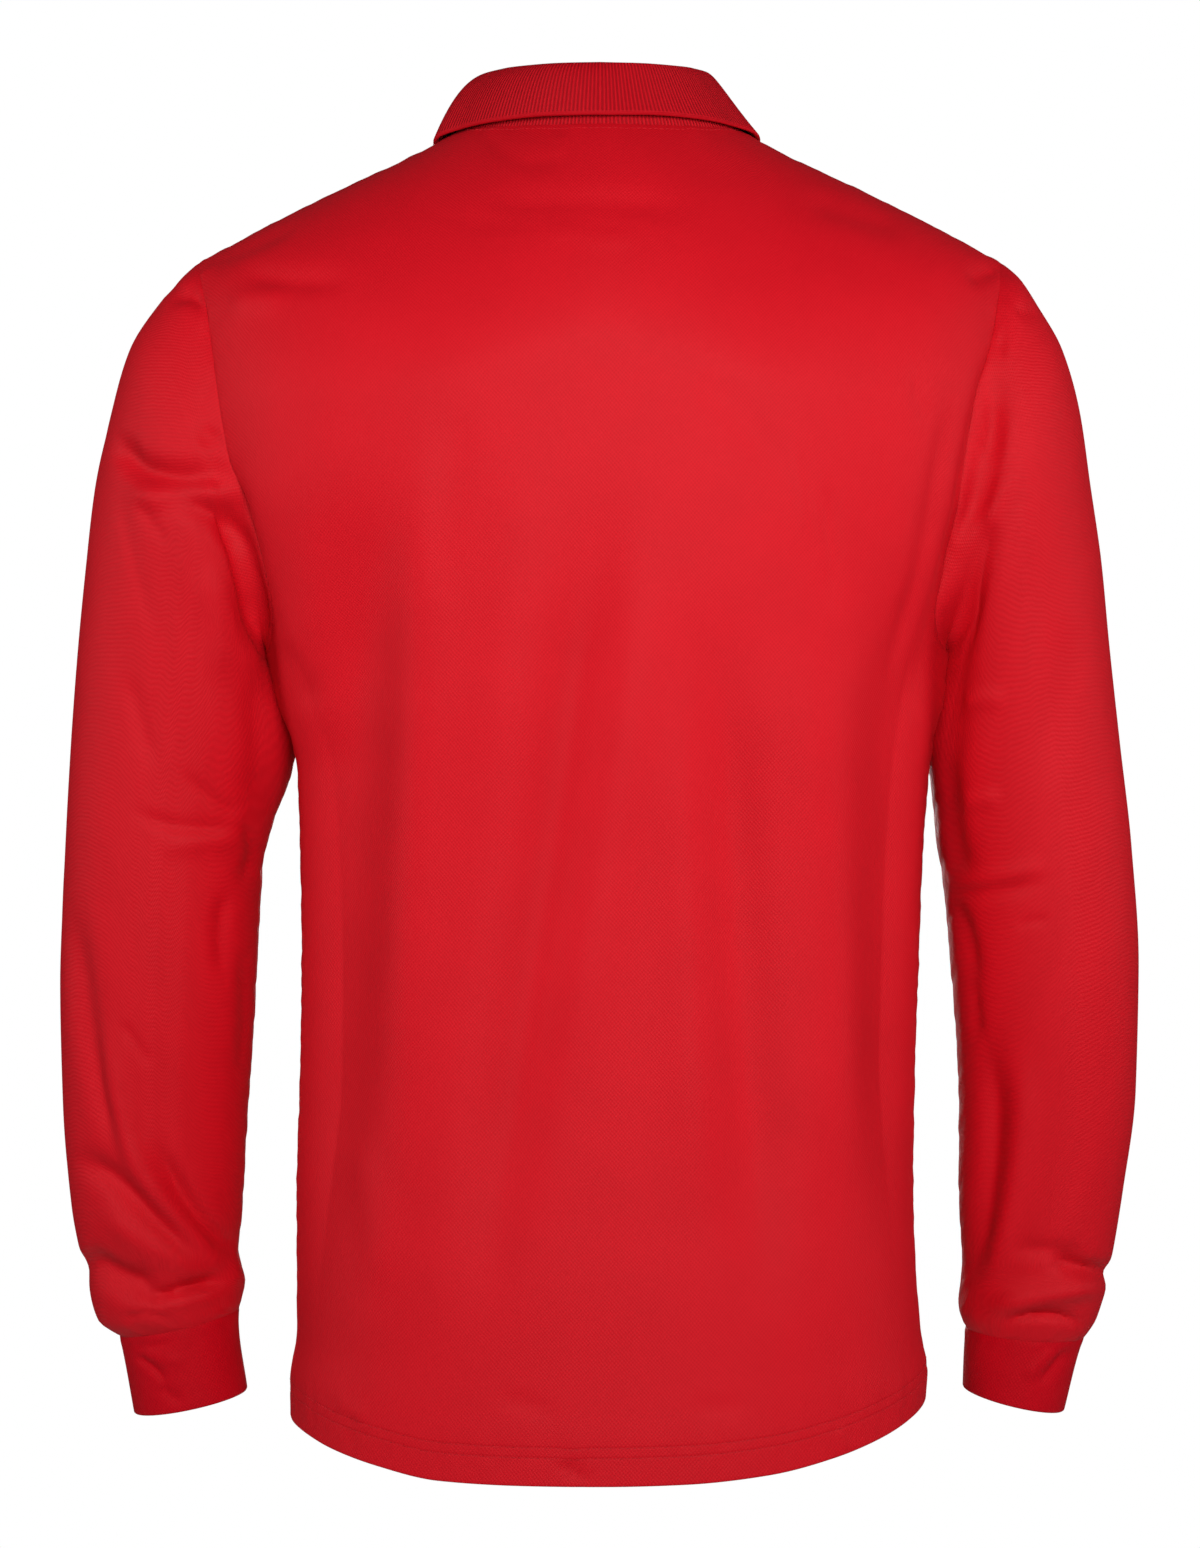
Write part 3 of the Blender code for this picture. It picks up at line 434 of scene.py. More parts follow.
# %% The creases of each piece, seen from each side: three points, reach in pixels, height in
# millimetres, lean
CREASES = {
    ("back", "back"): [
        # back, the long drapes
        ((372, 450), (332, 880), (316, 1390), 50, -16.0, 0.1),
        ((420, 380), (414, 760), (388, 1180), 30, 4.0, 0.0),
        ((334, 1130), (372, 1215), (382, 1300), 22, 2.0, 0.0),
        ((462, 396), (446, 500), (436, 620), 22, -1.4, 0.0),
        ((610, 440), (544, 900), (466, 1380), 35, -9.5, -0.1),
        ((652, 500), (608, 820), (552, 1120), 36, 4.0, 0.0),
        ((520, 420), (512, 600), (486, 800), 30, 1.2, 0.0),
        ((716, 560), (742, 980), (776, 1350), 35, -9.5, 0.1),
        ((690, 640), (694, 960), (704, 1240), 30, 3.6, 0.0),
        ((810, 540), (836, 930), (850, 1230), 32, 4.0, 0.0),
        ((690, 372), (742, 420), (806, 500), 20, -1.8, 0.0),
        ((791, 436), (800, 490), (809, 548), 5, 0.8, 0.0),
        ((811, 476), (820, 530), (829, 590), 5, 0.9, 0.0),
        ((825, 470), (832, 545), (835, 625), 9, -1.4, 0.0),
        ((910, 364), (918, 395), (928, 428), 7, -1.3, 0.0),
        ((956, 366), (926, 540), (900, 700), 11, -2.6, 0.0),
        ((922, 540), (906, 880), (914, 1330), 44, -14.0, -0.1),
        ((272, 636), (290, 676), (304, 716), 12, -1.6, 0.0),
        # back, its edges rolled in beside the sleeves
        ((218, 450), (250, 560), (276, 690), 11, -7.0, 0.0),
        ((1006, 320), (974, 440), (952, 580), 9, -5.0, 0.0),
        ((962, 500), (946, 610), (932, 730), 11, -6.5, 0.0),
        # back, the shoulders and under the collar
        ((196, 269), (250, 247), (306, 221), 8, -1.9, 0.0),
        ((236, 271), (290, 282), (360, 281), 9, -2.7, 0.2),
        ((226, 303), (256, 300), (290, 297), 10, 1.7, 0.0),
        ((798, 195), (855, 216), (912, 233), 12, -2.0, 0.0),
        ((964, 280), (985, 273), (1005, 262), 8, -3.1, 0.0),
        ((480, 128), (505, 153), (526, 162), 9, -0.9, 0.0),
        ((516, 160), (538, 163), (564, 158), 8, -1.0, 0.0),
        ((559, 130), (561, 146), (560, 160), 4, 1.2, 0.0),
        ((470, 208), (590, 203), (714, 211), 12, -1.5, 0.0),
        ((416, 215), (520, 226), (645, 226), 4, -0.8, 0.0),
        ((530, 227), (590, 236), (646, 242), 4, 1.0, 0.0),
        # back, the hem
        ((563, 1460), (572, 1472), (584, 1486), 5, -2.4, 0.3),
        ((494, 1398), (525, 1404), (556, 1413), 6, -1.2, 0.0),
        ((330, 1392), (352, 1409), (372, 1418), 6, 1.2, 0.0),
        ((835, 1426), (841, 1440), (846, 1454), 4, 1.4, 0.0),
        ((690, 1402), (720, 1408), (752, 1404), 6, -1.0, 0.0),
    ],
    ("sleeve_left", "back"): [
        # left sleeve, under the arm
        ((166, 304), (192, 297), (218, 316), 8, -3.2, 0.1),
        ((190, 440), (214, 437), (238, 452), 7, -2.6, 0.0),
        ((126, 424), (146, 472), (250, 470), 12, -7.0, 0.1),
        ((124, 488), (178, 497), (252, 487), 11, 3.6, 0.0),
        ((150, 500), (204, 508), (246, 560), 13, -6.0, 0.0),
        ((218, 492), (250, 570), (260, 664), 20, -7.0, 0.0),
        ((256, 650), (260, 740), (258, 840), 18, -4.5, 0.0),
        ((138, 500), (152, 522), (172, 548), 6, -0.9, 0.0),
        ((118, 488), (134, 560), (154, 640), 7, -1.0, 0.2),
        ((128, 670), (140, 720), (154, 772), 8, -1.6, 0.0),
        ((205, 560), (222, 620), (214, 690), 16, 2.2, 0.0),
        # left sleeve, elbow
        ((180, 766), (212, 799), (248, 816), 7, -2.0, 0.1),
        ((130, 808), (180, 827), (248, 826), 7, -1.9, 0.1),
        ((150, 848), (204, 841), (250, 838), 11, 1.9, 0.0),
        ((236, 816), (254, 852), (232, 888), 9, -3.4, 0.0),
        ((232, 880), (220, 935), (230, 990), 9, -2.4, 0.0),
        ((240, 940), (246, 1010), (238, 1090), 9, -2.5, 0.0),
        # left sleeve, down to the cuff
        ((74, 880), (90, 1040), (130, 1170), 12, -5.0, 0.1),
        ((106, 1000), (142, 1172), (246, 1274), 12, 6.0, 0.0),
        ((150, 1130), (196, 1214), (246, 1254), 11, -6.0, -0.1),
        ((72, 1148), (138, 1202), (218, 1272), 12, -7.0, 0.1),
        ((120, 1020), (135, 1042), (153, 1070), 5, -1.4, 0.0),
        ((96, 1200), (152, 1246), (220, 1272), 14, 3.6, 0.0),
        ((78, 1248), (116, 1276), (170, 1290), 14, -8.5, 0.0),
        ((136, 1306), (181, 1291), (232, 1276), 7, -5.4, 0.2),
        ((112, 1308), (170, 1303), (240, 1290), 7, 2.0, 0.0),
        ((120, 1322), (146, 1312), (170, 1323), 3, -1.6, 0.0),
    ],
    ("sleeve_right", "back"): [
        # right sleeve, under the arm
        ((1012, 309), (1025, 312), (1039, 313), 4, -2.0, 0.0),
        ((1002, 334), (1003, 344), (1003, 354), 3, -1.5, 0.0),
        ((996, 352), (984, 452), (958, 566), 16, -4.0, 0.0),
        ((992, 396), (995, 430), (988, 466), 10, -2.6, 0.0),
        ((1030, 444), (990, 512), (957, 556), 10, 2.0, 0.0),
        ((992, 516), (980, 574), (960, 670), 11, -4.2, 0.0),
        ((975, 545), (954, 690), (946, 820), 17, -4.8, 0.0),
        ((944, 740), (950, 825), (966, 890), 14, -5.0, 0.0),
        ((958, 702), (980, 700), (1010, 696), 9, 1.9, 0.0),
        ((958, 802), (980, 800), (1004, 796), 8, 1.9, 0.0),
        ((1062, 610), (1058, 700), (1050, 800), 16, -1.2, 0.0),
        # right sleeve, elbow
        ((940, 878), (990, 877), (1056, 864), 8, 1.8, 0.1),
        ((940, 892), (990, 892), (1056, 878), 8, -2.0, 0.0),
        ((946, 900), (966, 930), (976, 1004), 9, -3.5, 0.0),
        ((972, 975), (976, 1010), (978, 1042), 7, -2.2, 0.0),
        ((1015, 927), (1033, 921), (1053, 920), 4, -1.1, 0.0),
        # right sleeve, down to the cuff
        ((986, 1020), (992, 1165), (962, 1310), 13, -5.5, 0.1),
        ((1024, 1040), (1016, 1175), (980, 1306), 14, 3.8, 0.0),
        ((1044, 1258), (1086, 1269), (1122, 1273), 9, -6.4, 0.0),
        ((1008, 1250), (1050, 1250), (1092, 1256), 9, -2.5, 0.0),
        ((980, 1312), (1044, 1294), (1112, 1284), 11, 5.4, 0.0),
        ((998, 1326), (1045, 1314), (1088, 1330), 5, -4.2, 0.2),
    ],
    ("sleeve_left", "right"): [
        # the roll that stands over the left cuff, inside the arm
        ((640, 1218), (682, 1238), (724, 1246), 15, 3.4, 0.2),
        # where the sleeves touch the body below the armholes
        ((634, 560), (630, 670), (624, 780), 46, 6.5, 0.0),
    ],
    ("cuff_left", "back"): [
        # cuffs
        ((124, 1343), (150, 1346), (180, 1338), 4, -1.2, 0.0),
        ((129, 1353), (153, 1368), (167, 1388), 4, -2.4, 0.3),
        ((160, 1382), (170, 1395), (188, 1402), 6, -1.6, 0.0),
        ((136, 1353), (162, 1359), (190, 1362), 6, 1.1, 0.0),
    ],
    ("cuff_right", "back"): [
        # cuffs
        ((1071, 1345), (1053, 1366), (1038, 1387), 5, -2.0, 0.2),
        ((1057, 1345), (1040, 1362), (1023, 1381), 6, 1.5, 0.0),
        ((996, 1337), (1030, 1330), (1076, 1339), 4, -1.2, 0.0),
    ],
    ("front", "front"): [
        # front, drapes from the chest and from the armpits
        ((424, 500), (396, 850), (340, 1280), 22, -4.8, 0.2),
        ((470, 860), (448, 1080), (424, 1270), 17, 2.7, 0.0),
        ((806, 540), (836, 860), (852, 1262), 20, -4.2, -0.2),
        ((748, 780), (756, 1000), (776, 1210), 16, 2.5, 0.0),
        ((296, 560), (372, 598), (452, 662), 14, -4.1, 0.2),
        ((306, 610), (372, 652), (430, 716), 11, -2.5, 0.0),
        ((908, 556), (838, 604), (762, 668), 15, -4.2, -0.2),
        ((900, 612), (850, 646), (806, 700), 11, -2.4, 0.0),
        ((530, 420), (502, 520), (470, 610), 16, -1.9, 0.0),
        ((676, 430), (700, 520), (742, 596), 16, -1.7, 0.0),
        ((560, 640), (566, 800), (552, 980), 18, 1.7, 0.0),
        ((640, 620), (652, 860), (640, 1120), 18, -2.0, 0.0),
        ((298, 236), (360, 250), (432, 262), 10, -2.0, 0.0),
        ((902, 240), (850, 256), (776, 266), 10, -2.2, 0.0),
        ((430, 1440), (446, 1452), (456, 1470), 6, -1.7, 0.0),
        ((720, 1452), (742, 1462), (752, 1474), 6, -1.5, 0.0),
    ],
    ("sleeve_left", "front"): [
        # sleeves from the front: the inside of the elbow, and above the cuffs
        ((1118, 806), (1062, 846), (984, 882), 13, -4.2, 0.2),
        ((1108, 852), (1052, 880), (985, 904), 12, 2.8, 0.0),
        ((1112, 900), (1052, 918), (982, 930), 9, -3.0, 0.0),
        ((1098, 980), (1060, 1002), (1016, 1010), 10, -1.8, 0.0),
        ((1122, 1120), (1078, 1188), (996, 1244), 9, -3.5, 0.2),
        ((1118, 1186), (1062, 1234), (990, 1264), 9, 3.0, 0.0),
        ((1108, 1262), (1056, 1284), (994, 1298), 8, -3.5, 0.0),
        ((954, 480), (1006, 506), (1062, 570), 12, -3.2, 0.0),
        ((950, 420), (944, 560), (928, 720), 10, -4.2, 0.0),
        ((960, 404), (1004, 416), (1054, 462), 9, -2.0, 0.0),
    ],
    ("sleeve_right", "front"): [
        # sleeves from the front: the inside of the elbow, and above the cuffs
        ((84, 790), (138, 838), (218, 890), 13, -4.2, -0.2),
        ((90, 846), (146, 880), (220, 908), 12, 2.5, 0.0),
        ((88, 886), (150, 908), (232, 928), 8, -2.8, 0.0),
        ((120, 990), (160, 1000), (206, 1020), 10, -1.6, 0.0),
        ((84, 1100), (128, 1186), (204, 1252), 9, -3.5, 0.0),
        ((84, 1180), (136, 1224), (208, 1264), 9, 2.8, 0.0),
        ((100, 1262), (150, 1286), (208, 1302), 8, -3.2, 0.0),
        ((250, 470), (192, 500), (136, 566), 12, -3.0, 0.0),
        ((248, 424), (256, 560), (272, 710), 10, -4.0, 0.0),
    ],
    ("sleeve_left", "left"): [
        # the outer sides of the sleeves, towards the front
        ((520, 470), (500, 640), (470, 800), 16, -1.8, 0.0),
        ((404, 842), (450, 866), (506, 872), 9, -2.0, 0.0),
        ((404, 1186), (440, 1210), (486, 1216), 9, -2.2, 0.0),
        ((400, 1230), (440, 1252), (486, 1250), 9, 1.8, 0.0),
    ],
    ("sleeve_right", "right"): [
        # the outer sides of the sleeves, towards the front
        ((690, 480), (704, 650), (728, 810), 16, -1.8, 0.0),
        ((796, 850), (750, 878), (696, 876), 9, -2.0, 0.0),
        ((796, 1180), (760, 1206), (716, 1206), 9, -2.0, 0.0),
        ((800, 1226), (760, 1244), (716, 1246), 9, 1.6, 0.0),
    ],
    ("sleeve_right", "left"): [
        # where the sleeves touch the body below the armholes
        ((566, 570), (570, 680), (576, 800), 46, 6.5, 0.0),
    ],
}
for piece in ("back", "front"):  # the panels reach out to the sleeves under the arms
    for view in ("left", "right"):
        CREASES[piece, view] = [((600, 580), (600, 664), (600, 756), 34, 3.8, 0.0)]
print("creases:", sum(len(rows) for rows in CREASES.values()))

# %% [markdown]
# ## Seams
# Where two pieces are sewn, the thread pulls the cloth in, which leaves a fine groove with small
# uneven puckers beside it. The puckers are a few waves of different length along the seam, faded
# out within a finger's breadth, and gone at the seam itself so that both pieces still meet there.
# %% Puckers and the groove
PUCKER_WAVES = (0.0110, 0.0173, 0.0237, 0.0310)  # metres, uneven on purpose
PUCKER_HEIGHT, PUCKER_RISE, PUCKER_REACH = 0.00042, 0.002, 0.0075
SEEDS = {"panel": 11, "hem": 21, "sleeve": 31, "cuff": 41}
GROOVE_DEPTH, GROOVE_REACH = 0.0003, 0.0018
STILL = {"panel": 0.007, "sleeve": 0.0035, "cuff": 0.004}  # metres below a seam that stay still


def puckers(run, seam, seed):
    """Sum of four waves along the seam x rise from the seam x fall away from it."""
    phases = np.random.default_rng(seed).uniform(0, 2 * np.pi, len(PUCKER_WAVES))
    waves = sum(np.sin(2 * np.pi * run / w + p) for w, p in zip(PUCKER_WAVES, phases))
    return PUCKER_HEIGHT / 2 * waves * still_beside(seam, PUCKER_RISE) * np.exp(-seam / PUCKER_REACH)


def still_beside(far, reach):
    """How much a crease or pucker may lift a point: nothing at a seam, all of it well away."""
    return 1 - np.exp(-((far / reach) ** 2))


def outer_lift(seam):
    """Outer skin above the middle surface: half the cloth, less the groove near a seam."""
    return CLOTH / 2 - GROOVE_DEPTH * np.exp(-((seam / GROOVE_REACH) ** 2))


# %% [markdown]
# ## From a grid to a mesh
# A cloth piece becomes two skins, one outside and one inside, with a rim round every open edge, so
# that the wall is closed and has a real thickness. The faces are worked out for the whole grid at
# once: an edge used by one face only is an open edge. A UV map in metres of cloth goes with it,
# and named numbers for each point, such as how far the next seam is.
# %% Mesh maker


def mesh_piece(name, verts, faces, material, uv=None, marks=()):
    """A mesh object from arrays: quads, a UV for each corner, and named numbers for each point."""
    mesh = bpy.data.meshes.new(name)
    mesh.vertices.add(len(verts))
    mesh.vertices.foreach_set("co", verts.astype(np.float32).ravel())
    mesh.loops.add(faces.size)
    mesh.loops.foreach_set("vertex_index", faces.astype(np.int32).ravel())
    mesh.polygons.add(len(faces))
    mesh.polygons.foreach_set("loop_start", np.arange(0, faces.size, faces.shape[1], dtype=np.int32))
    mesh.update(calc_edges=True)
    if uv is not None:
        mesh.uv_layers.new(name="cloth").data.foreach_set("uv", uv.astype(np.float32).ravel())
    for mark, values in dict(marks).items():
        data = mesh.attributes.new(mark, "FLOAT", "POINT").data
        data.foreach_set("value", values.astype(np.float32).ravel())
    mesh.validate()
    mesh.shade_smooth()
    mesh.set_sharp_from_angle(angle=math.radians(60))
    mesh.materials.append(material)
    obj = bpy.data.objects.new(name, mesh)
    bpy.context.scene.collection.objects.link(obj)
    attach(obj, "root")
    return obj


def shell(name, points, out, outside, inside, uv, material, marks, closed=False, skip=None):
    """Two skins of a grid, at `outside` and `inside` from its points, and rims at open edges."""
    rows, cols = points.shape[:2]
    j, i = np.mgrid[0 : rows - 1, 0 : cols if closed else cols - 1]
    if skip is not None:
        j, i = j[~skip], i[~skip]
    j, i, wide, count = j.ravel(), i.ravel(), uv.shape[1], rows * cols
    k = (i + 1) % cols
    quads = np.stack([j * cols + i, j * cols + k, (j + 1) * cols + k, (j + 1) * cols + i], 1)
    places = np.stack([j * wide + i, j * wide + i + 1, (j + 1) * wide + i + 1, (j + 1) * wide + i], 1)
    if np.sum(normals(points, closed) * out) > 0:
        quads, places = quads[:, ::-1], places[:, ::-1]
    a, b = quads.ravel(), np.roll(quads, -1, 1).ravel()
    pa, pb = places.ravel(), np.roll(places, -1, 1).ravel()
    edge = ~np.isin(a * count + b, b * count + a)
    a, b, pa, pb = a[edge], b[edge], pa[edge], pb[edge]
    rim = np.stack([b, a, count + a, count + b], 1)
    faces = np.concatenate([quads, quads[:, ::-1] + count, rim])
    places = np.concatenate([places, places[:, ::-1], np.stack([pb, pa, pa, pb], 1)])
    skins = [points + out * outside[..., None], points - out * inside[..., None]]
    verts = np.concatenate([skin.reshape(-1, 3) for skin in skins])
    used, faces = np.unique(faces, return_inverse=True)
    marks = {key: np.tile(values.ravel(), 2)[used] for key, values in marks.items()}
    obj = mesh_piece(name, verts[used], faces.reshape(-1, 4), material, uv.reshape(-1, 2)[places], marks)
    print(f"{name}: {len(obj.data.polygons)} quads")
    return obj


# %% [markdown]
# ## Finishes
# The cloth is a matt red cotton pique: a knit whose tucked loops make a fine raised check, set on
# the diagonal. Two cosines of the UV map, multiplied, give that check. It drives a small bump and
# makes the hollows a little darker, because less light reaches them. Over it lie a faint mottling
# of the dye and the soft fibre sheen of cotton. A photograph of real cloth could be used instead,
# but a pattern worked out from lengths stays sharp at any distance.
# %% Node helpers
# The darker reds are painted shade for the pique's hollows and for the grooves at seams and hem lines,
# and also the low end of the dye's mottle.
RED = (0.600, 0.0030, 0.0110, 1.0)
SHADE_AND_MOTTLE_RED = (0.400, 0.0010, 0.0055, 1.0)
# The cuffs are the body's own cloth. Their darker reds are partly painted shade, because the lower
# sleeves turn away from the light.
CUFF_SHADED_RED, CUFF_SHADE_AND_MOTTLE_RED = (0.525, 0.0012, 0.0085, 1.0), (0.330, 0.0006, 0.0045, 1.0)
# the collar's rib: its red, and the painted shade between its wales
RIB_RED, RIB_SHADE_RED = (0.600, 0.0028, 0.0110, 1.0), (0.280, 0.0007, 0.0045, 1.0)
THREAD_RED = (0.620, 0.0080, 0.0180, 1.0)
RESIN_RED, RESIN_DARK = (0.52, 0.014, 0.024, 1.0), (0.36, 0.006, 0.012, 1.0)


class Finish:
    """A material, and makers for its nodes. An input is a number, a colour or another output."""

    def __init__(self, name, roughness, sheen, gloss=0.2):
        self.material = bpy.data.materials.new(name)
        self.material.use_nodes = True
        self.tree = self.material.node_tree
        self.shader = self.tree.nodes["Principled BSDF"]
        self.put(self.shader, {"Roughness": roughness, "Specular IOR Level": gloss})
        self.put(self.shader, {"Sheen Weight": sheen, "Sheen Roughness": 0.45})
        self.put(self.shader, {"Sheen Tint": (1.0, 0.25, 0.28, 1.0)})

    def put(self, node, inputs):
        for key, value in inputs.items():
            if hasattr(value, "links"):
                self.tree.links.new(value, node.inputs[key])
            else:
                node.inputs[key].default_value = value

    def node(self, kind, inputs=(), **settings):
        """A node with its settings, then its inputs by name or number."""
        node = self.tree.nodes.new("ShaderNode" + kind)
        for key, value in settings.items():
            setattr(node, key, value)
        self.put(node, dict(inputs))
        return node

    def calc(self, operation, *values):
        return self.node("Math", enumerate(values), operation=operation).outputs[0]

    def bell(self, value, reach, weight, middle=0.0):
        """weight x exp(-((value - middle) / reach)^2)."""
        off = self.calc("DIVIDE", self.calc("SUBTRACT", value, middle), reach)
        power = self.calc("MULTIPLY", self.calc("MULTIPLY", off, off), -1.0)
        return self.calc("MULTIPLY", self.calc("EXPONENT", power), weight)

    def wave(self, value, length):
        """Cosine that repeats after a length."""
        return self.calc("COSINE", self.calc("MULTIPLY", value, 2 * math.pi / length))

    def mark(self, name):
        """A number that the mesh holds for each of its points."""
        return self.node("Attribute", attribute_name=name).outputs["Fac"]

    def noise(self, place, **inputs):
        return self.node("TexNoise", {"Vector": place, **inputs}).outputs

    def bump(self, height, strength, distance, **inputs):
        inputs.update(Strength=strength, Distance=distance, Height=height)
        return self.node("Bump", inputs).outputs["Normal"]

    def colour(self, share, one, other):
        """The shader's colour, mixed of two."""
        mix = self.node("Mix", {"Factor": share, "A": one, "B": other}, data_type="RGBA")
        self.put(self.shader, {"Base Color": mix.outputs["Result"]})


# %% The pique
CHECK_WIDE, CHECK_TALL = 0.0020, 0.0023  # two steps of the check across and up
WEAVE_DRIFT = 0.0012  # how far the yarns wander
HEM_LINES = (0.0155, 0.0210)  # the twin needle's two lines above the hem's edge
SEAM_GROOVE_SHADE, HEM_GROOVE_SHADE = 0.22, 0.3  # how deep the grooves at a seam and at the hem's sewing look: painted shade in the colour, and a bump
CHECK_BASE, CHECK_SHADE = 0.60, 0.42  # painted shade: brightness in the check's hollows, and what the knots add


def pique(name, red, shade_and_mottle_red, mottle, gloss):
    """Colour: check x mottle, with painted shade in the check's hollows and in the grooves. Height: check
    and fibres, less the grooves.
    """
    cloth = Finish(name, 0.6, 0.01, gloss)
    uv = cloth.node("UVMap", uv_map="cloth").outputs["UV"]
    drift = cloth.noise(uv, Scale=130, Detail=2)["Color"]
    wander = {0: drift, 1: (WEAVE_DRIFT,) * 3, 2: uv}
    shift = cloth.node("VectorMath", wander, operation="MULTIPLY_ADD").outputs[0]
    split = cloth.node("SeparateXYZ", {0: shift}).outputs
    across, up = cloth.wave(split[0], CHECK_WIDE), cloth.wave(split[1], CHECK_TALL)
    check = cloth.calc("MULTIPLY_ADD", cloth.calc("MULTIPLY", across, up), 0.5, 0.5)
    fibre = cloth.noise(uv, Scale=1400, Detail=3)["Fac"]
    cloud = cloth.noise(uv, Scale=mottle, Detail=4)["Fac"]
    seam, hem = cloth.mark("seam"), cloth.mark("hem")
    groove = cloth.bell(seam, 0.0008, SEAM_GROOVE_SHADE)
    for line in HEM_LINES:
        groove = cloth.calc("MAXIMUM", groove, cloth.bell(hem, 0.0007, HEM_GROOVE_SHADE, line))
    shade = cloth.calc("MULTIPLY_ADD", check, CHECK_SHADE, CHECK_BASE)
    shade = cloth.calc("MULTIPLY", shade, cloth.calc("MULTIPLY_ADD", cloud, 0.5, 0.75))
    # painted shade: the colour falls towards the shaded red in the check's hollows and in the seam and
    # hem grooves, and with the dye's mottle
    cloth.colour(cloth.calc("MULTIPLY_ADD", groove, -0.6, shade), shade_and_mottle_red, red)
    raised = cloth.calc("ADD", check, cloth.calc("MULTIPLY", fibre, 0.5))
    fine = cloth.bump(raised, 0.5, 0.00035)
    sunk = cloth.bump(cloth.calc("MULTIPLY", groove, -1.0), 0.8, 0.0006, Normal=fine)
    cloth.put(cloth.shader, {"Normal": sunk})
    return cloth.material


body_pique = pique("body_pique", RED, SHADE_AND_MOTTLE_RED, 26, 0.15)
# painted shade: a darker copy of the body's pique for the cuffs, with its own mottle and gloss
cuff_pique = pique("cuff_pique", CUFF_SHADED_RED, CUFF_SHADE_AND_MOTTLE_RED, 40, 0.08)
print("pique:", CHECK_WIDE * 1000, "x", CHECK_TALL * 1000, "mm check")

# %% [markdown]
# The collar is knitted to shape in a rib: upright wales side by side, like small cords, with loops
# along them. Its free edge is a smooth band with a fine ridge. The wales are a cosine across the
# strip, the loops a finer one along it, and both fade out towards the band.
# %% The rib of the collar
RIB_PITCH, LOOP_PITCH, BAND = 0.0021, 0.0011, 0.0022
BAND_FADE = 0.0006  # half of the stretch over which the wales begin above the band
LOOP_SLANT = 1.3  # how far the loops lean along a wale


def rib_knit():
    """Colour: wales with painted shade between them, a plain band at the edge, a little of the loops.
    Height: the same and lines.
    """
    knit = Finish("rib_knit", 0.65, 0.01, 0.1)
    uv = knit.node("UVMap", uv_map="cloth").outputs["UV"]
    across, up, _ = knit.node("SeparateXYZ", {0: uv}).outputs
    edge = knit.mark("edge")
    ribbed = knit.calc("DIVIDE", knit.calc("SUBTRACT", edge, BAND - BAND_FADE), 2 * BAND_FADE)
    ribbed = knit.calc("MINIMUM", knit.calc("MAXIMUM", ribbed, 0.0), 1.0)
    wale = knit.calc("MULTIPLY_ADD", knit.wave(across, RIB_PITCH), 0.5, 0.5)
    wale = knit.calc("MULTIPLY", wale, ribbed)
    climb = knit.calc("MULTIPLY", up, 2 * math.pi / LOOP_PITCH)
    slant = knit.calc("MULTIPLY_ADD", knit.calc("ABSOLUTE", wale), LOOP_SLANT, climb)
    loops = knit.calc("MULTIPLY_ADD", knit.calc("SINE", slant), 0.5, 0.5)
    lines = knit.calc("ADD", knit.bell(edge, 0.0005, 0.4, 0.0009), knit.bell(edge, 0.0004, 0.25, BAND))
    raised = knit.calc("ADD", knit.calc("ADD", wale, knit.calc("MULTIPLY", loops, 0.08)), lines)
    plain = knit.calc("MULTIPLY", knit.calc("SUBTRACT", 1.0, ribbed), 0.5)
    shade = knit.calc("ADD", knit.calc("MULTIPLY", wale, 0.85), plain)
    # painted shade: darker between the wales and, a little, between the loops; the plain band lies half
    # way
    knit.colour(knit.calc("MULTIPLY_ADD", loops, 0.05, shade), RIB_SHADE_RED, RIB_RED)
    knit.put(knit.shader, {"Normal": knit.bump(raised, 0.8, 0.0006)})
    return knit.material


def thread_material():
    """Twisted thread: a slanting wave round the object's own coordinates, fine as its strands, and
    painted shade between them.
    """
    yarn = Finish("thread", 0.6, 0.1)
    place = yarn.node("TexCoord").outputs["Object"]
    twist = {"Vector": place, "Scale": 700}
    wave = yarn.node("TexWave", twist, wave_type="BANDS", bands_direction="DIAGONAL").outputs["Fac"]
    # painted shade: the bands between the strands take the shaded red
    yarn.colour(wave, SHADE_AND_MOTTLE_RED, THREAD_RED)
    yarn.put(yarn.shader, {"Normal": yarn.bump(wave, 0.4, 0.0001)})
    return yarn.material


def button_material():
    """Dyed polyester resin: a slow swirl of two close reds under a thin polish."""
    disc = Finish("button_resin", 0.42, 0.0, 0.5)
    disc.put(disc.shader, {"Coat Weight": 0.15, "Coat Roughness": 0.35})
    place = disc.node("TexCoord").outputs["Object"]
    swirl = disc.noise(place, Scale=320, Distortion=1.5)["Fac"]
    disc.colour(swirl, RESIN_DARK, RESIN_RED)
    return disc.material


rib, thread, resin = rib_knit(), thread_material(), button_material()

# %% [markdown]
# ## Back and front
# Both panels get many more rows and columns than the pattern's coarse cells, with extra ones where
# something small happens: at the hem's fold and its two lines of sewing, and beside the side
# seams. Creases first, then the shared seam directions, then puckers, then the wall. The hem is
# turned up inside, so the wall is twice as thick there.
# %% Fine rows and columns
ARM_FINE = 84  # rows from underarm to shoulder, and half the points round a sleeve
LOW_FINE = 96  # rows from the hem's fold to the underarm
LOW_TALL = 0.432  # metres from hem to underarm, about
HEM_TALL = 0.0225
HEM_ROWS = (0, 0.5, 1.2, 2.5, 5, 8, 11, 13.5, 15.5, 17.5, 19.5, 21, 22.5, 24, 27)  # millimetres up
hem_rows = np.array(HEM_ROWS) / 1000 / LOW_TALL * LOW
low_rows = np.concatenate([hem_rows, np.linspace(hem_rows[-1], LOW, LOW_FINE + 1)[1:-1]])
PANEL_ROWS = np.concatenate([low_rows, LOW + np.linspace(0, ARM, ARM_FINE + 1)])
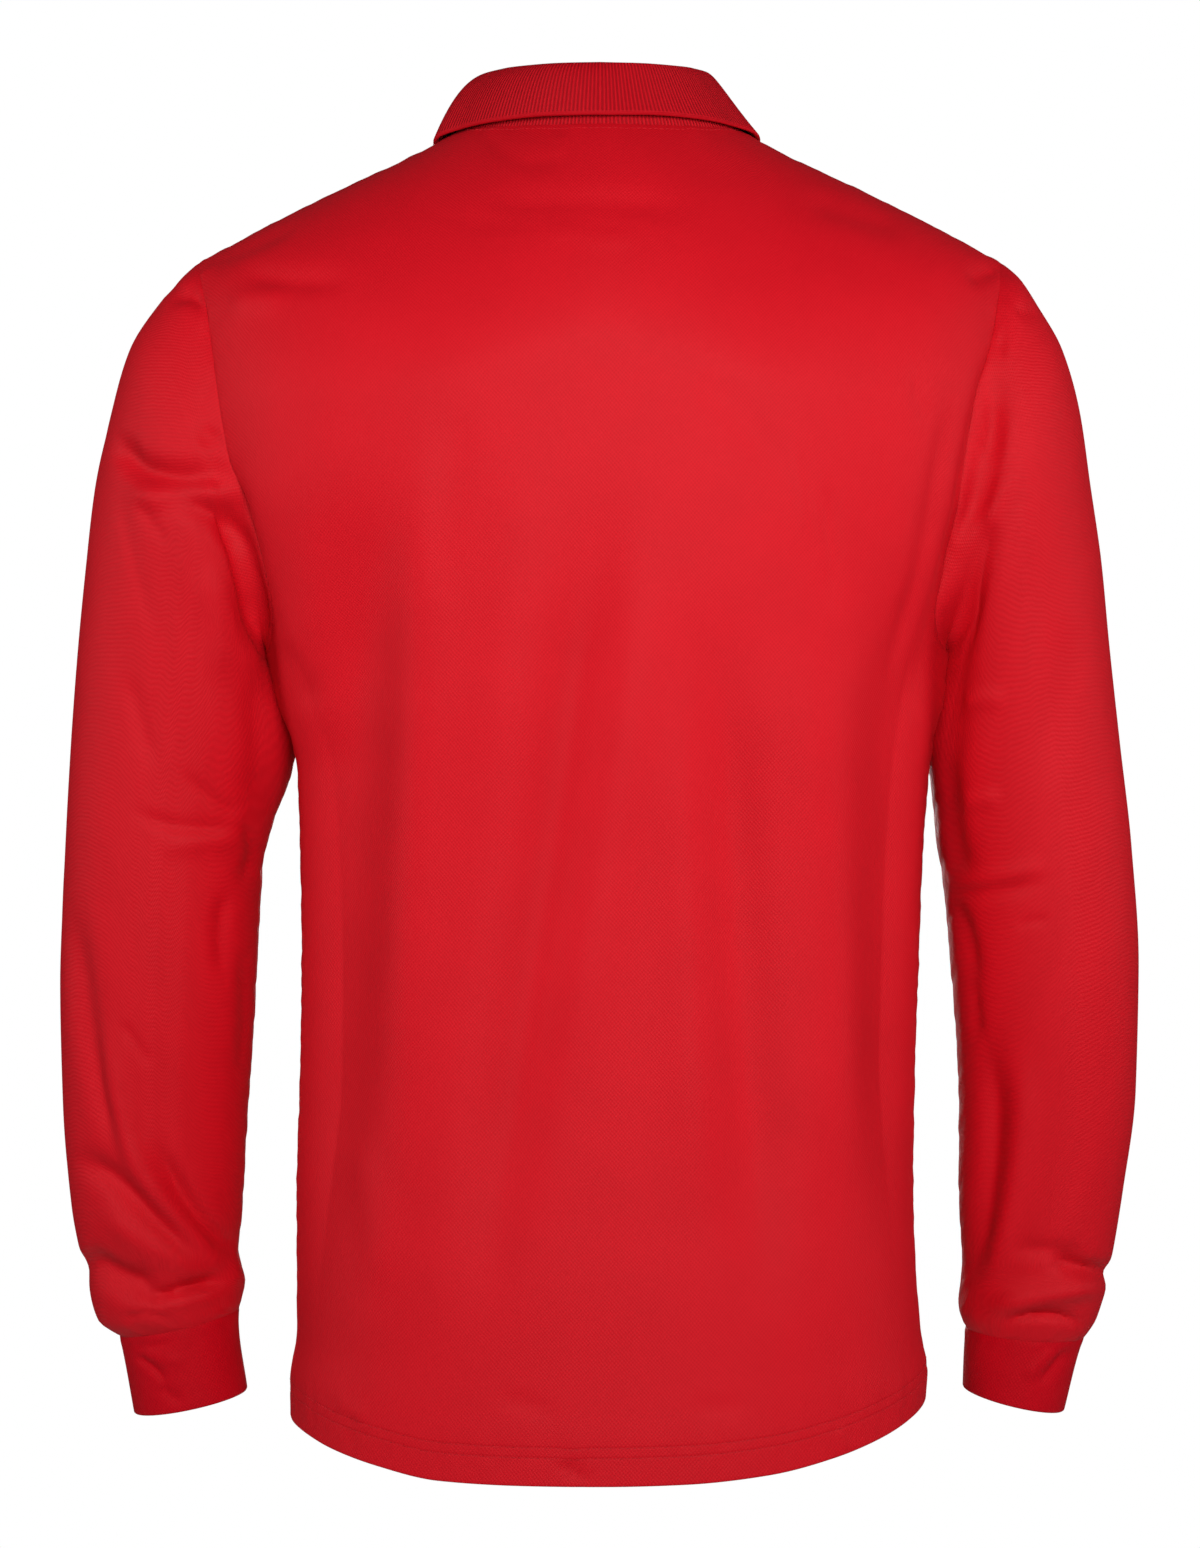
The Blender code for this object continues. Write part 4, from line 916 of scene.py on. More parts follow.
UNDERARM_ROW = len(low_rows)
side_cols = SIDE_CELLS - np.array([0.13, 0.085, 0.05, 0.024, 0.0])
half_cols = {
    "back": np.concatenate([np.linspace(0, SIDE_CELLS - 0.2, 90), side_cols]),
    "front": np.concatenate([np.linspace(0, 1, 7)[:-1], np.linspace(1, SIDE_CELLS - 0.2, 84), side_cols]),
}
PANEL_COLS = {name: np.concatenate([-half[:0:-1], half]) for name, half in half_cols.items()}
print("panel grid:", len(PANEL_ROWS), "rows,", {n: len(c) for n, c in PANEL_COLS.items()}, "columns")

# %% Panels, creased, with shared seams
panels, outward, uvs = {}, {}, {}
FACING = {"back": 1, "front": -1}
for name, facing in FACING.items():
    points = panel(name == "back", PANEL_ROWS, PANEL_COLS[name])
    length = running(points, 0)
    still = still_beside(length[-1:] - length, STILL["panel"])
    points = draped(name, points, facing * normals(points), still)
    panels[name], outward[name] = points, facing * normals(points)
below = slice(0, UNDERARM_ROW + 1)
for edge in (0, -1):
    shared = mitre(outward["back"][below, edge], outward["front"][below, edge])
    outward["back"][below, edge] = outward["front"][below, edge] = shared
    seam_line = (panels["back"][below, edge] + panels["front"][below, edge]) / 2
    panels["back"][below, edge] = panels["front"][below, edge] = seam_line


def cloth_lengths(points):
    """UV of a panel: length across from the middle, length up from the level of the underarm."""
    u, v = running(points, 1), running(points, 0)
    u = u - u[:, [points.shape[1] // 2]]
    return np.stack([u, v - v[[UNDERARM_ROW]]], axis=-1)


def shoulder_columns(name):
    return np.abs(PANEL_COLS[name]) >= NECK_CELLS - 1e-9


for name in panels:
    uvs[name] = cloth_lengths(panels[name])
torso = {name: (panels[name].copy(), outward[name].copy()) for name in panels}

# %% [markdown]
# ## Sleeves and cuffs
# A sleeve is a tube that starts at the armhole seam and ends in the cuff. Its first ring is read
# from the panels' own edges, up the front and down the back, so it can't gape. The others are
# ellipses between the outlines of the tables. The rings in between come from a smooth curve down
# the sleeve through each of its turns. The underarm seam is where the tube opens.
# %% Rings of a sleeve
TURNS = -np.pi + np.pi * np.arange(2 * ARM_FINE) / ARM_FINE


def arm_rings(rows, side):
    """Ellipses between the outer and the inner outline, one for each row of the table."""
    outer = np.stack([rows["out_x"], rows["mid_y"], rows["out_z"]], 1)
    inner = np.stack([rows["in_x"], rows["mid_y"], rows["in_z"]], 1)
    deep = np.stack([0 * rows["half_y"], rows["half_y"], 0 * rows["half_y"]], 1)
    rings = (
        (outer + inner)[:, None] / 2
        + np.cos(TURNS)[:, None] * (outer - inner)[:, None] / 2
        + np.sin(TURNS)[:, None] * deep[:, None]
    )
    return rings * np.array([side, 1, 1])


def round_armhole(grids, edge):
    """Values along the armhole, from the underarm up the front edge and down the back edge."""
    front, back = grids["front"][UNDERARM_ROW:, edge], grids["back"][UNDERARM_ROW:, edge]
    return np.concatenate([front, back[-2:0:-1]])


def down_the_arm(rings, count, ends=(0.0005, 0.0012, 0.0022, 0.0036)):
    """Rings spaced evenly by length, with a few more beside each end."""
    knots = np.concatenate([[0], np.cumsum(np.linalg.norm(np.diff(rings, axis=0), axis=-1).mean(1))])
    ends = np.array(ends)
    at = np.linspace(0, knots[-1], count + 1)
    at = np.concatenate([[0], ends, at[2:-2], knots[-1] - ends[::-1], [knots[-1]]])
    return smooth(at, knots, rings)


def tube_lengths(points):
    """UV of a tube, with one column more than its points: length round it from the outer line,
    and length down from its start; and how far each point is from the three seams."""
    wide = np.concatenate([points, points[:, :1]], axis=1)
    u, v = running(wide, 1), running(points, 0)
    u = u - u[:, [ARM_FINE]]
    v_wide = np.concatenate([v, v[:, :1]], axis=1)
    side_seam = np.minimum(u - u[:, :1], u[:, -1:] - u)[:, :-1]
    return np.stack([u, -v_wide], axis=-1), v, v[-1:] - v, side_seam


# %% Sleeves and cuffs, creased
SLEEVE_RINGS, CUFF_RINGS = 216, 24
arms = {}
for side, name in ((1, "left"), (-1, "right")):
    edge = -1 if side > 0 else 0
    hole = round_armhole(panels, edge)
    rings = np.concatenate([hole[None], arm_rings(SLEEVES[name], side)])
    sleeve = down_the_arm(rings, SLEEVE_RINGS)
    _, from_top, _, _ = tube_lengths(sleeve)
    still = still_beside(from_top, STILL["sleeve"])
    sleeve = draped("sleeve_" + name, sleeve, side * normals(sleeve, True), still)
    sleeve[0] = hole
    sleeve_out = side * normals(sleeve, True)
    cuff_rows = arm_rings(CUFFS[name], side)
    cuff = down_the_arm(np.concatenate([sleeve[-1:], cuff_rows]), CUFF_RINGS, ends=(0.0006, 0.0014))
    _, from_top, _, _ = tube_lengths(cuff)
    still = still_beside(from_top, STILL["cuff"])
    cuff = draped("cuff_" + name, cuff, side * normals(cuff, True), still)
    cuff_out = side * normals(cuff, True)
    shared = mitre(sleeve_out[-1], cuff_out[0])
    sleeve_out[-1] = cuff_out[0] = shared
    shared = mitre(round_armhole(outward, edge), sleeve_out[0])
    sleeve_out[0] = shared
    outward["front"][UNDERARM_ROW:, edge] = shared[: ARM_FINE + 1]
    outward["back"][UNDERARM_ROW:, edge] = np.concatenate([shared[:1], shared[: ARM_FINE - 1 : -1]])
    arms[name] = (sleeve, sleeve_out, cuff, cuff_out)
    print(f"{name}: {len(sleeve)} sleeve rings, armhole {running(hole[None], 1)[0, -1]:.3f} m round")

# %% [markdown]
# The shoulder seams are shared last, because the armhole's ends belong to them too. Then the two
# panels become walls. The front has the placket's slit left out of its grid.
# %% Shoulder seams, then the two walls
cols = {name: np.flatnonzero(shoulder_columns(name))[1:-1] for name in panels}
back_cols, front_cols = (PANEL_COLS[name][cols[name]] for name in ("back", "front"))
front_out = interpolated(back_cols, front_cols, outward["front"][-1, cols["front"]])
shared = mitre(outward["back"][-1, cols["back"]], front_out)
outward["back"][-1, cols["back"]] = shared
outward["front"][-1, cols["front"]] = interpolated(front_cols, back_cols, shared)
SLIT_ROW = LOW + 4  # the placket's slit ends here, above the underarm
INNER_WALL, TURNED_WALL = 0.0002, 0.0009  # the inner skin's depth, and what the turned hem adds
FADE = 0.0005  # over what height the turned hem's upper edge lies down
FOLD = 0.0005  # the hem's very fold, which no pucker lifts
EDGE_ROUND = 0.0012  # how far in from a free edge its rounding starts
skins, cloth = {}, {}


def rounded_edge(far, reach, least):
    """A quarter circle of the distance from a free edge: from nearly thin to the whole wall."""
    return np.sqrt(np.clip(1 - (1 - np.clip(far / reach, 0, 1)) ** 2, least, 1))


for number, name in enumerate(("back", "front")):
    points, out, uv = panels[name], outward[name], uvs[name]
    u, v = uv[..., 0], uv[..., 1]
    side_far = np.minimum(u - u[:, :1], u[:, -1:] - u)
    top_far, hem_far = v[-1:] - v, v - v[:1]
    seam = np.minimum(side_far, top_far)
    run = np.where(side_far < top_far, v, u)
    points = points + out * puckers(run, seam, SEEDS["panel"] + number)[..., None]
    ripple = puckers(u, np.abs(hem_far - HEM_LINES[0]), SEEDS["hem"] + number) * (hem_far > FOLD)
    points = points + out * ripple[..., None]
    turned_up = 1 / (1 + np.exp((hem_far - HEM_TALL) / FADE))
    rounded = rounded_edge(hem_far, EDGE_ROUND, 0.02)
    outside = outer_lift(seam) * rounded
    inside = (INNER_WALL + TURNED_WALL * turned_up) * rounded
    skip = None
    if name == "front":
        inner_cell = np.abs((PANEL_COLS[name][1:] + PANEL_COLS[name][:-1]) / 2) < 1
        skip = ((PANEL_ROWS[:-1] >= SLIT_ROW - 1e-9)[:, None]) & inner_cell[None]
    marks = {"seam": seam, "hem": hem_far}
    cloth[name] = shell(name + "_cloth", points, out, outside, inside, uv, body_pique, marks, skip=skip)
    skins[name] = (points + out * outside[..., None], out / np.linalg.norm(out, axis=-1, keepdims=True))

# %% Sleeve and cuff walls
for number, (name, (sleeve, sleeve_out, cuff, cuff_out)) in enumerate(arms.items()):
    uv, top, low, under = tube_lengths(sleeve)
    seam = np.minimum(np.minimum(top, low), under)
    run = np.where(np.minimum(top, low) < under, uv[:, :-1, 0], uv[:, :-1, 1])
    moved = sleeve + sleeve_out * puckers(run, seam, SEEDS["sleeve"] + number)[..., None]
    inside = np.full(seam.shape, INNER_WALL)
    marks = {"seam": seam, "hem": seam * 0 + 1}
    walls = outer_lift(seam), inside
    cloth["sleeve_" + name] = shell(
        f"sleeve_{name}_cloth", moved, sleeve_out, *walls, uv, body_pique, marks, closed=True
    )
    uv, top, low, under = tube_lengths(cuff)
    rounded = rounded_edge(low, EDGE_ROUND, 0.02)
    seam = np.minimum(top, under)
    moved = cuff + cuff_out * puckers(uv[:, :-1, 0], top, SEEDS["cuff"] + number)[..., None]
    marks = {"seam": seam, "hem": seam * 0 + 1}
    walls = outer_lift(seam) * rounded, CLOTH / 2 * rounded
    cloth["cuff_" + name] = shell(
        f"cuff_{name}_cloth", moved, cuff_out, *walls, uv, cuff_pique, marks, closed=True
    )

# %% [markdown]
# ## The collar
# A flat-knit collar is one strip. The stand rises from the neck seam, leaning in, rolls over at
# the fold, and the leaf falls outside it and rests on the shoulders. Both halves are curves set by
# four points at each turn about the neck. Where the leaf would sink into the shirt, each
# of its points is moved out from the nearest point of the torso until the rib clears it.
# %% Collar sizes
COLLAR = table(
    "turn fold_x fold_y fold_z edge_x edge_y edge_z",
    (0.0, 0.0000, 0.0450, 0.0295, 0.0000, 0.0572, -0.0001),
    (20.0, 0.0210, 0.0415, 0.0295, 0.0290, 0.0495, 0.0001),
    (40.0, 0.0390, 0.0305, 0.0296, 0.0555, 0.0335, -0.0008),
    (60.0, 0.0510, 0.0150, 0.0300, 0.0765, 0.0135, -0.0028),
    (90.0, 0.0600, -0.0100, 0.0300, 0.0935, -0.0090, -0.0088),
    (110.0, 0.0560, -0.0340, 0.0140, 0.0925, -0.0440, -0.0255),
    (130.0, 0.0455, -0.0560, -0.0095, 0.0850, -0.0690, -0.0610),
    (150.0, 0.0300, -0.0710, -0.0345, 0.0690, -0.0905, -0.0970),
    (177.0, 0.0045, -0.0800, -0.0570, 0.0430, -0.1060, -0.1270),
)
LEAF = table("level bend_out bend_down reach", (0.40, 0.70, 0.36, 1.0), (0.14, 0.48, 0.50, 0.96))
RIB, COLLAR_LIFT, ROLL_IN, LEAF_CLEARANCE = 0.0020, -0.0004, 0.0040, 0.0020
LEAF_REACH_X = 0.13  # no leaf lies further out than this
COLLAR_STATIONS = 150
HALVES_MEET = 19.7  # degrees about the back over which the right half's set becomes the left's


def bezier(a, b, c, d, t):
    """Cubic curve from a to d, drawn towards b and c, for all turns and all steps at once."""
    a, b, c, d = (p[:, None] for p in (a, b, c, d))
    t = t[None, :, None]
    return a * (1 - t) ** 3 + 3 * b * t * (1 - t) ** 2 + 3 * c * t * t * (1 - t) + d * t**3


def neck_seam(turn):
    back = turn <= np.pi / 2
    both = zip(neckline(turn, True), neckline(np.pi - turn, False))
    x, z = (np.where(back, one, two) for one, two in both)
    return np.stack([x, np.where(back, body_y(x, z, True), body_y(x, z, False)), z], -1)


# %% Collar shape
turn = np.linspace(-COLLAR["turn"][-1], COLLAR["turn"][-1], 2 * COLLAR_STATIONS + 1)
away = np.abs(turn)
value = {key: smooth(away, COLLAR["turn"], COLLAR[key]) for key in COLLAR}
leftness = np.clip(0.5 + turn / HALVES_MEET, 0, 1)
shape = {key: LEAF[key][0] * leftness + LEAF[key][1] * (1 - leftness) for key in LEAF}
inset = value["edge_x"] * (1 - shape["reach"])
foot = neck_seam(np.radians(away))
fold = np.stack([value["fold_x"], value["fold_y"], value["fold_z"]], -1)
free = np.stack([value["edge_x"] - inset, value["edge_y"], value["edge_z"] + inset * SHOULDER_SLOPE], -1)
spread, drop = (free - fold) * [1, 1, 0], (free - fold) * [0, 0, 1]
inwards = -spread / np.linalg.norm(spread, axis=1, keepdims=True)
rise = (fold - foot) / np.linalg.norm(fold - foot, axis=1, keepdims=True)
foot = foot + rise * COLLAR_LIFT
stand_steps = np.linspace(0, 1, 15)
leaf_steps = np.concatenate([np.linspace(0, 0.96, 32)[1:], [0.975, 0.99, 1.0]])
column = lambda key: shape[key][:, None]
stand = bezier(foot, (foot + fold) / 2, fold + inwards * ROLL_IN, fold, stand_steps)
bend = fold + spread * column("bend_out") + drop * column("bend_down")
leaf = bezier(fold, fold + spread * column("level"), bend, free, leaf_steps)
mirror = np.where(turn < 0, -1.0, 1.0)[:, None, None] * [1, 0, 0] + [0, 1, 1]
stand, leaf = stand * mirror, leaf * mirror


def clear_of_torso(points):
    """Each point moved out along the direction of the torso's nearest point, until it clears."""
    high = slice(UNDERARM_ROW + 20, None)
    near = [[grid[high].reshape(-1, 3) for grid in pair] for pair in torso.values()]
    place, way = (np.concatenate(part) for part in zip(*near))
    keep = np.abs(place[:, 0]) < LEAF_REACH_X
    place, way = place[keep], way[keep]
    flat = points.reshape(-1, 3)
    parts = np.array_split(flat, len(flat) // 400)
    nearest = np.concatenate([np.argmin(((part[:, None] - place) ** 2).sum(-1), 1) for part in parts])
    place, way = place[nearest], way[nearest]
    height = np.sum((flat - place) * way, -1)
    sunk = np.clip(LEAF_CLEARANCE - height, 0, None)
    return (flat + way * sunk[:, None]).reshape(points.shape)


collar_points = np.concatenate([stand, clear_of_torso(leaf)], axis=1)
collar_out = normals(collar_points)
collar_out *= np.sign(collar_out[COLLAR_STATIONS, -1, 1])
u = running(collar_points, 0)
line = len(stand_steps) + 20  # the knitting's length is measured along this line of the leaf
u = np.repeat(u[:, [line]] - u[COLLAR_STATIONS, line], u.shape[1], 1)
v = running(collar_points, 1)
edge_far = v[:, -1:] - v
end_far = np.minimum(np.abs(u - u[:1]), np.abs(u[-1:] - u))
half_rib = RIB / 2 * rounded_edge(np.minimum(edge_far, end_far), 0.001, 0.04)
marks = {"edge": edge_far, "seam": v}
cloth["collar"] = shell(
    "collar_knit", collar_points, collar_out, half_rib, half_rib, np.stack([u, v], -1), rib, marks
)
print(f"collar: {v[COLLAR_STATIONS, -1] * 1000:.0f} mm wide, {np.ptp(u) * 1000:.0f} mm long")

# %% [markdown]
# ## The placket
# The front is slit from the neck, and two narrow strips close it: the upper one with the
# buttonholes lies on the lower one with the buttons. Both are read from the front panel itself at
# fractions of its rows and columns, and the upper one is lifted by the cloth beneath it.
# %% Placket strips
PLACKET_CLOTH, SEAM_GAP, OVERLAP = 0.0014, 0.0003, 0.0030
TOP_ROW = LOW + ARM - 1 + 0.985
STRIP_ROWS, STRIP_COLS = 120, 25
NO_GROOVE = 0.004  # far enough from any seam for no groove to show on a strip


def front_at(rows, cols, grid):
    """A grid of the front panel read between its points, at coarse rows and columns."""
    j = np.interp(rows, PANEL_ROWS, np.arange(len(PANEL_ROWS)))
    i = np.interp(cols, PANEL_COLS["front"], np.arange(len(PANEL_COLS["front"])))
    return between(grid, j, i)


two_rows = panel(False, np.array([SLIT_ROW - 1.0, SLIT_ROW]), np.array([0.0]))
two_cols = panel(False, np.array([float(SLIT_ROW)]), np.array([1.0, 2.0]))
tall = np.linalg.norm(np.diff(two_rows, axis=0))  # a coarse cell's height at the slit's foot
wide = np.linalg.norm(np.diff(two_cols, axis=1))  # and its width
over = CLOTH / 2 + SEAM_GAP + PLACKET_CLOTH / 2
top_side, under_side = 1 + OVERLAP / wide, 1 - SEAM_GAP / PLACKET_HALF_WIDTH
strips = {}
for name, low_row, half, lift in (
    ("placket_top", SLIT_ROW - OVERLAP / tall, top_side, over),
    ("placket_under", SLIT_ROW + SEAM_GAP / tall, under_side, 0.0),
):
    close = low_row + np.array([0, 0.02, 0.05])  # rows close to the strip's foot
    rows = np.concatenate([close, np.linspace(low_row + 0.1, TOP_ROW, STRIP_ROWS)])
    ends = half - np.array([0.0, 0.03, 0.08])  # columns close to its edges
    cols = np.concatenate([-ends, np.linspace(-ends[-1], ends[-1], STRIP_COLS)[1:-1], ends[::-1]])
    rows_grid, cols_grid = np.meshgrid(rows, cols, indexing="ij")
    points, ways = (front_at(rows_grid, cols_grid, grid) for grid in torso["front"])
    ways /= np.linalg.norm(ways, axis=-1, keepdims=True)
    points = points + ways * lift
    u, v = running(points, 1), running(points, 0)
    edge_far = np.minimum(np.minimum(u, u[:, -1:] - u), v)
    half_thick = PLACKET_CLOTH / 2 * rounded_edge(edge_far, 0.0009, 0.04)
    marks = {"seam": edge_far + NO_GROOVE, "hem": edge_far * 0 + 1}
    uv = np.stack([u - u[:, -1:] / 2, v], -1)
    cloth[name] = shell(name + "_cloth", points, ways, half_thick, half_thick, uv, body_pique, marks)
    strips[name] = (points + ways * half_thick[..., None], ways, u, v, points[:, len(cols) // 2])

# %% [markdown]
# ## Sewing
# The stitches are small capsules of thread, one after another along a path on the cloth, each
# sunk a little into it. A tube along the path would be lighter, but it would read as a cord and
# not as sewing. One template is turned into place for all stitches at once: along the path, across
# it, and out from the cloth.
# %% Stitch maker
STITCH_RINGS, STITCH_SIDES = 5, 6


def stitches(name, paths, length=0.0026, gap=0.0008, radius=0.00026):
    """One object of thread: for every path of (points, outward directions), capsules at an even
    pitch. A capsule is a circle carried along the stitch, its radius a half circle's height."""
    at = np.linspace(-1, 1, STITCH_RINGS)
    ring = np.sqrt(np.clip(1 - at**6, 0.05, 1))
    turn = 2 * np.pi * np.arange(STITCH_SIDES) / STITCH_SIDES
    k = np.arange(STITCH_SIDES)
    j = np.arange(STITCH_RINGS - 1)[:, None] * STITCH_SIDES
    k2 = (k + 1) % STITCH_SIDES
    quads = np.stack([j + k, j + k2, j + STITCH_SIDES + k2, j + STITCH_SIDES + k], -1)
    caps = np.array([[3, 2, 1, 0], [5, 4, 3, 0]])
    last = (STITCH_RINGS - 1) * STITCH_SIDES
    quads = np.concatenate([quads.reshape(-1, 4), caps, caps[:, ::-1] + last])
    verts, faces, count = [], [], 0
    for line, ways in paths:
        far = np.concatenate([[0], np.cumsum(np.linalg.norm(np.diff(line, axis=0), axis=1))])
        number = max(1, int(far[-1] / (length + gap)))
        middle = (np.arange(number) + 0.5) * far[-1] / number
        spot, way = interpolated(middle, far, line), interpolated(middle, far, ways)
        ends = [interpolated(middle + end * length / 2, far, line) for end in (-1, 1)]
        along = ends[1] - ends[0]
        along /= np.linalg.norm(along, axis=1, keepdims=True)
        across = np.cross(way, along)
        across /= np.linalg.norm(across, axis=1, keepdims=True)
        up = np.cross(along, across)
        body = (
            spot[:, None, None]
            + along[:, None, None] * (at * length / 2)[:, None, None]
            + radius * ring[:, None, None] * (
                across[:, None, None] * np.cos(turn)[:, None] + up[:, None, None] * np.sin(turn)[:, None]
            )
        )
        verts.append(body.reshape(-1, 3))
        size = STITCH_RINGS * STITCH_SIDES
        faces.append((quads + (count + np.arange(number) * size)[:, None, None]).reshape(-1, 4))
        count += number * size
    obj = mesh_piece(name, np.concatenate(verts), np.concatenate(faces), thread)
    print(f"{name}: {count // (STITCH_RINGS * STITCH_SIDES)} stitches")


def skin_line(name, rows, cols):
    """A path on a panel's outer skin, at fractions of its fine rows and columns."""
    return tuple(between(grid, rows, cols) for grid in skins[name])


def rows_at(lengths, wanted):
    """For each column, the fractional row where the running length reaches the wanted one."""
    rows = np.arange(len(lengths))
    return np.array([np.interp(wanted, column, rows) for column in lengths.T])


# %% The hem's twin needle, and the line under the neck seam
NECK_LINE = 0.005  # metres below the neck seam
hem_paths = []
for name in ("back", "front"):
    up = running(skins[name][0], 0)
    cols = np.arange(up.shape[1], dtype=float)
    for line in HEM_LINES:
        hem_paths.append(skin_line(name, rows_at(up, line), cols))
stitches("hem_thread", hem_paths)
up = running(skins["back"][0], 0)
inner = np.flatnonzero(np.abs(PANEL_COLS["back"]) <= NECK_CELLS - 0.2)
rows = rows_at((up - up[-1:])[:, inner], -NECK_LINE)
stitches("neck_thread", [skin_line("back", rows, inner.astype(float))])

# %% The placket's stitching
skin, ways, u, v, _ = strips["placket_top"]
INSET = 0.0021  # how far in from the strip's edges its sewing runs
BOX_TALL = 0.030  # the crossed box at the strip's foot


def strip_line(us, vs):
    """A path on the upper strip from lengths across and up."""
    j = np.interp(vs, v[:, v.shape[1] // 2], np.arange(len(v)))
    i = np.interp(us, u[len(u) // 2], np.arange(u.shape[1]))
    return between(skin, j, i), between(ways, j, i)


strip_wide, strip_tall = u[len(u) // 2, -1], v[-1, v.shape[1] // 2]
steps = np.linspace(0, 1, 60)
across_it = INSET + (strip_wide - 2 * INSET) * steps
up_it = INSET + (strip_tall - INSET) * steps
corner_paths = [
    (INSET + 0 * steps, up_it),
    (strip_wide - INSET + 0 * steps, up_it),
    (across_it, INSET + 0 * steps),
    (across_it, BOX_TALL + 0 * steps),
    (across_it, INSET + (BOX_TALL - INSET) * steps),
    (across_it, BOX_TALL + (INSET - BOX_TALL) * steps),
]
stitches("placket_thread", [strip_line(us, vs) for us, vs in corner_paths])

# %% [markdown]
# ## Buttons and buttonholes
# The buttons are turned discs with a raised rim, a dished middle and four holes, sewn on through
# the holes. The face is a height over a round grid, so the holes are pits in it. Each buttonhole is
# a row of tight stitches round a slit: a thread ridge carried round a long loop.
# %% Button shape
BUTTON_RADIUS, BUTTON_THICK, HOLE_RADIUS, HOLE_SPREAD = 0.0055, 0.0024, 0.00085, 0.0014
FACE_RINGS, FACE_TURNS, HOLE_DEPTH = 56, 80, 0.0014
FACE_SHARE = 0.93  # share of the radius that the face takes
SIDE_SHARES = (0.965, 0.99, 1.0, 1.0, 0.985, 0.95, 0.5, 0.0)  # of the radius, round to the back
SIDE_HEIGHTS = (0.0006, 0.0004, 0.0001, -0.0004, -0.0009)  # down the side, from the middle
SEW_HIGH, SEW_ARCH, STRAND = 0.00105, 0.0006, 0.00028  # the thread's top, its arch, its strands' pitch
SLIT_LONG, SLIT_WIDE, SLIT_POWER = 0.0068, 0.0013, 0.7  # half sizes of a buttonhole's loop
RIDGE_LIFT, RIDGE_RADIUS = 0.0001, 0.00042


def button_grid():
    """Radius and height of the disc's outline from the middle of the face round to the back, as a
    grid over its turns, with the face sunk at the holes."""
    share = np.linspace(0, 1, FACE_RINGS)
    radius = BUTTON_RADIUS * np.concatenate([share * FACE_SHARE, SIDE_SHARES])
    flat = radius[:FACE_RINGS] / BUTTON_RADIUS
    rim = 0.00045 * np.exp(-(((flat - 0.82) / 0.11) ** 2)) - 0.00035 * np.exp(-((flat / 0.62) ** 4))
    half = BUTTON_THICK / 2
    height = np.concatenate([half - 0.0004 + rim, SIDE_HEIGHTS, [-half] * 3])
    turn = 2 * np.pi * np.arange(FACE_TURNS) / FACE_TURNS
    x, y = radius[:, None] * np.cos(turn), radius[:, None] * np.sin(turn)
    z = np.repeat(height[:, None], FACE_TURNS, 1)
    corners = [(a * HOLE_SPREAD, b * HOLE_SPREAD) for a in (-1, 1) for b in (-1, 1)]
    hole = np.min([np.hypot(x - a, y - b) for a, b in corners], axis=0)
    pit = 1 / (1 + np.exp((hole - HOLE_RADIUS) / 0.00008))
    z[:FACE_RINGS] -= HOLE_DEPTH * pit[:FACE_RINGS]
    return np.stack([x, y, z], -1)


def ring_quads(rows, cols):
    """Faces of a round grid whose last column meets its first."""
    j, i = np.mgrid[0 : rows - 1, 0:cols]
    k, j2 = (i + 1) % cols, j + 1
    return np.stack([j * cols + i, j2 * cols + i, j2 * cols + k, j * cols + k], -1).reshape(-1, 4)


def loop_tube(path, ways, radius, sides=8):
    """A round thread carried round a closed path."""
    along = np.roll(path, -1, 0) - np.roll(path, 1, 0)
    along /= np.linalg.norm(along, axis=1, keepdims=True)
    across = np.cross(ways, along)
    turn = 2 * np.pi * np.arange(sides) / sides
    spokes = across[:, None] * np.cos(turn)[:, None] + ways[:, None] * np.sin(turn)[:, None]
    tube = path[:, None] + radius * spokes
    n = len(path)
    j, i = np.mgrid[0:n, 0:sides]
    j2, k = (j + 1) % n, (i + 1) % sides
    quads = np.stack([j * sides + i, j * sides + k, j2 * sides + k, j2 * sides + i], -1).reshape(-1, 4)
    return tube.reshape(-1, 3), quads


# %% Buttons, their thread, and the buttonholes
grid = button_grid()
strip_mid = strips["placket_top"][4]
surface_v = v[:, v.shape[1] // 2]
hole_paths = []
for number in (1, 2, 3):
    low, high = (np.array(corner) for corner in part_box(f"button_{number}"))
    centre = (low + high) / 2
    at = np.interp(centre[2], strip_mid[:, 2], surface_v)
    spot, way = (part[0] for part in strip_line(np.array([strip_wide / 2]), np.array([at])))
    above, _ = strip_line(np.array([strip_wide / 2]), np.array([at + 0.004]))
    up = above[0] - spot
    up /= np.linalg.norm(up)
    axis = way / np.linalg.norm(way)
    up -= axis * np.dot(up, axis)
    across = np.cross(up, axis)
    base = spot + axis * (SEAM_GAP + BUTTON_THICK / 2)
    turned = base + grid[..., :1] * across + grid[..., 1:2] * up + grid[..., 2:] * axis
    name = f"button_{number}_turned"
    button = mesh_piece(name, turned.reshape(-1, 3), ring_quads(*grid.shape[:2]), resin)
    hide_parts(f"button_{number}")
    sew = []
    for a in (-1, 1):
        t = np.linspace(-1, 1, 9)
        arch = SEW_HIGH - SEW_ARCH * t**2
        line = base + across * (a * HOLE_SPREAD) + up * (t * HOLE_SPREAD)[:, None] + axis * arch[:, None]
        for shift in (-STRAND, 0.0, STRAND):
            sew.append((line + across * shift, np.repeat(axis[None], 9, 0)))
    stitches(f"button_{number}_thread", sew, length=2 * HOLE_SPREAD + 0.0006, gap=0.0, radius=0.00016)
    t = 2 * np.pi * np.arange(64) / 64
    us = strip_wide / 2 + SLIT_WIDE * np.sign(np.cos(t)) * np.abs(np.cos(t)) ** SLIT_POWER
    vs = at + SLIT_LONG * np.sign(np.sin(t)) * np.abs(np.sin(t)) ** SLIT_POWER
    hole_paths.append(strip_line(us, vs))
verts, faces, count = [], [], 0
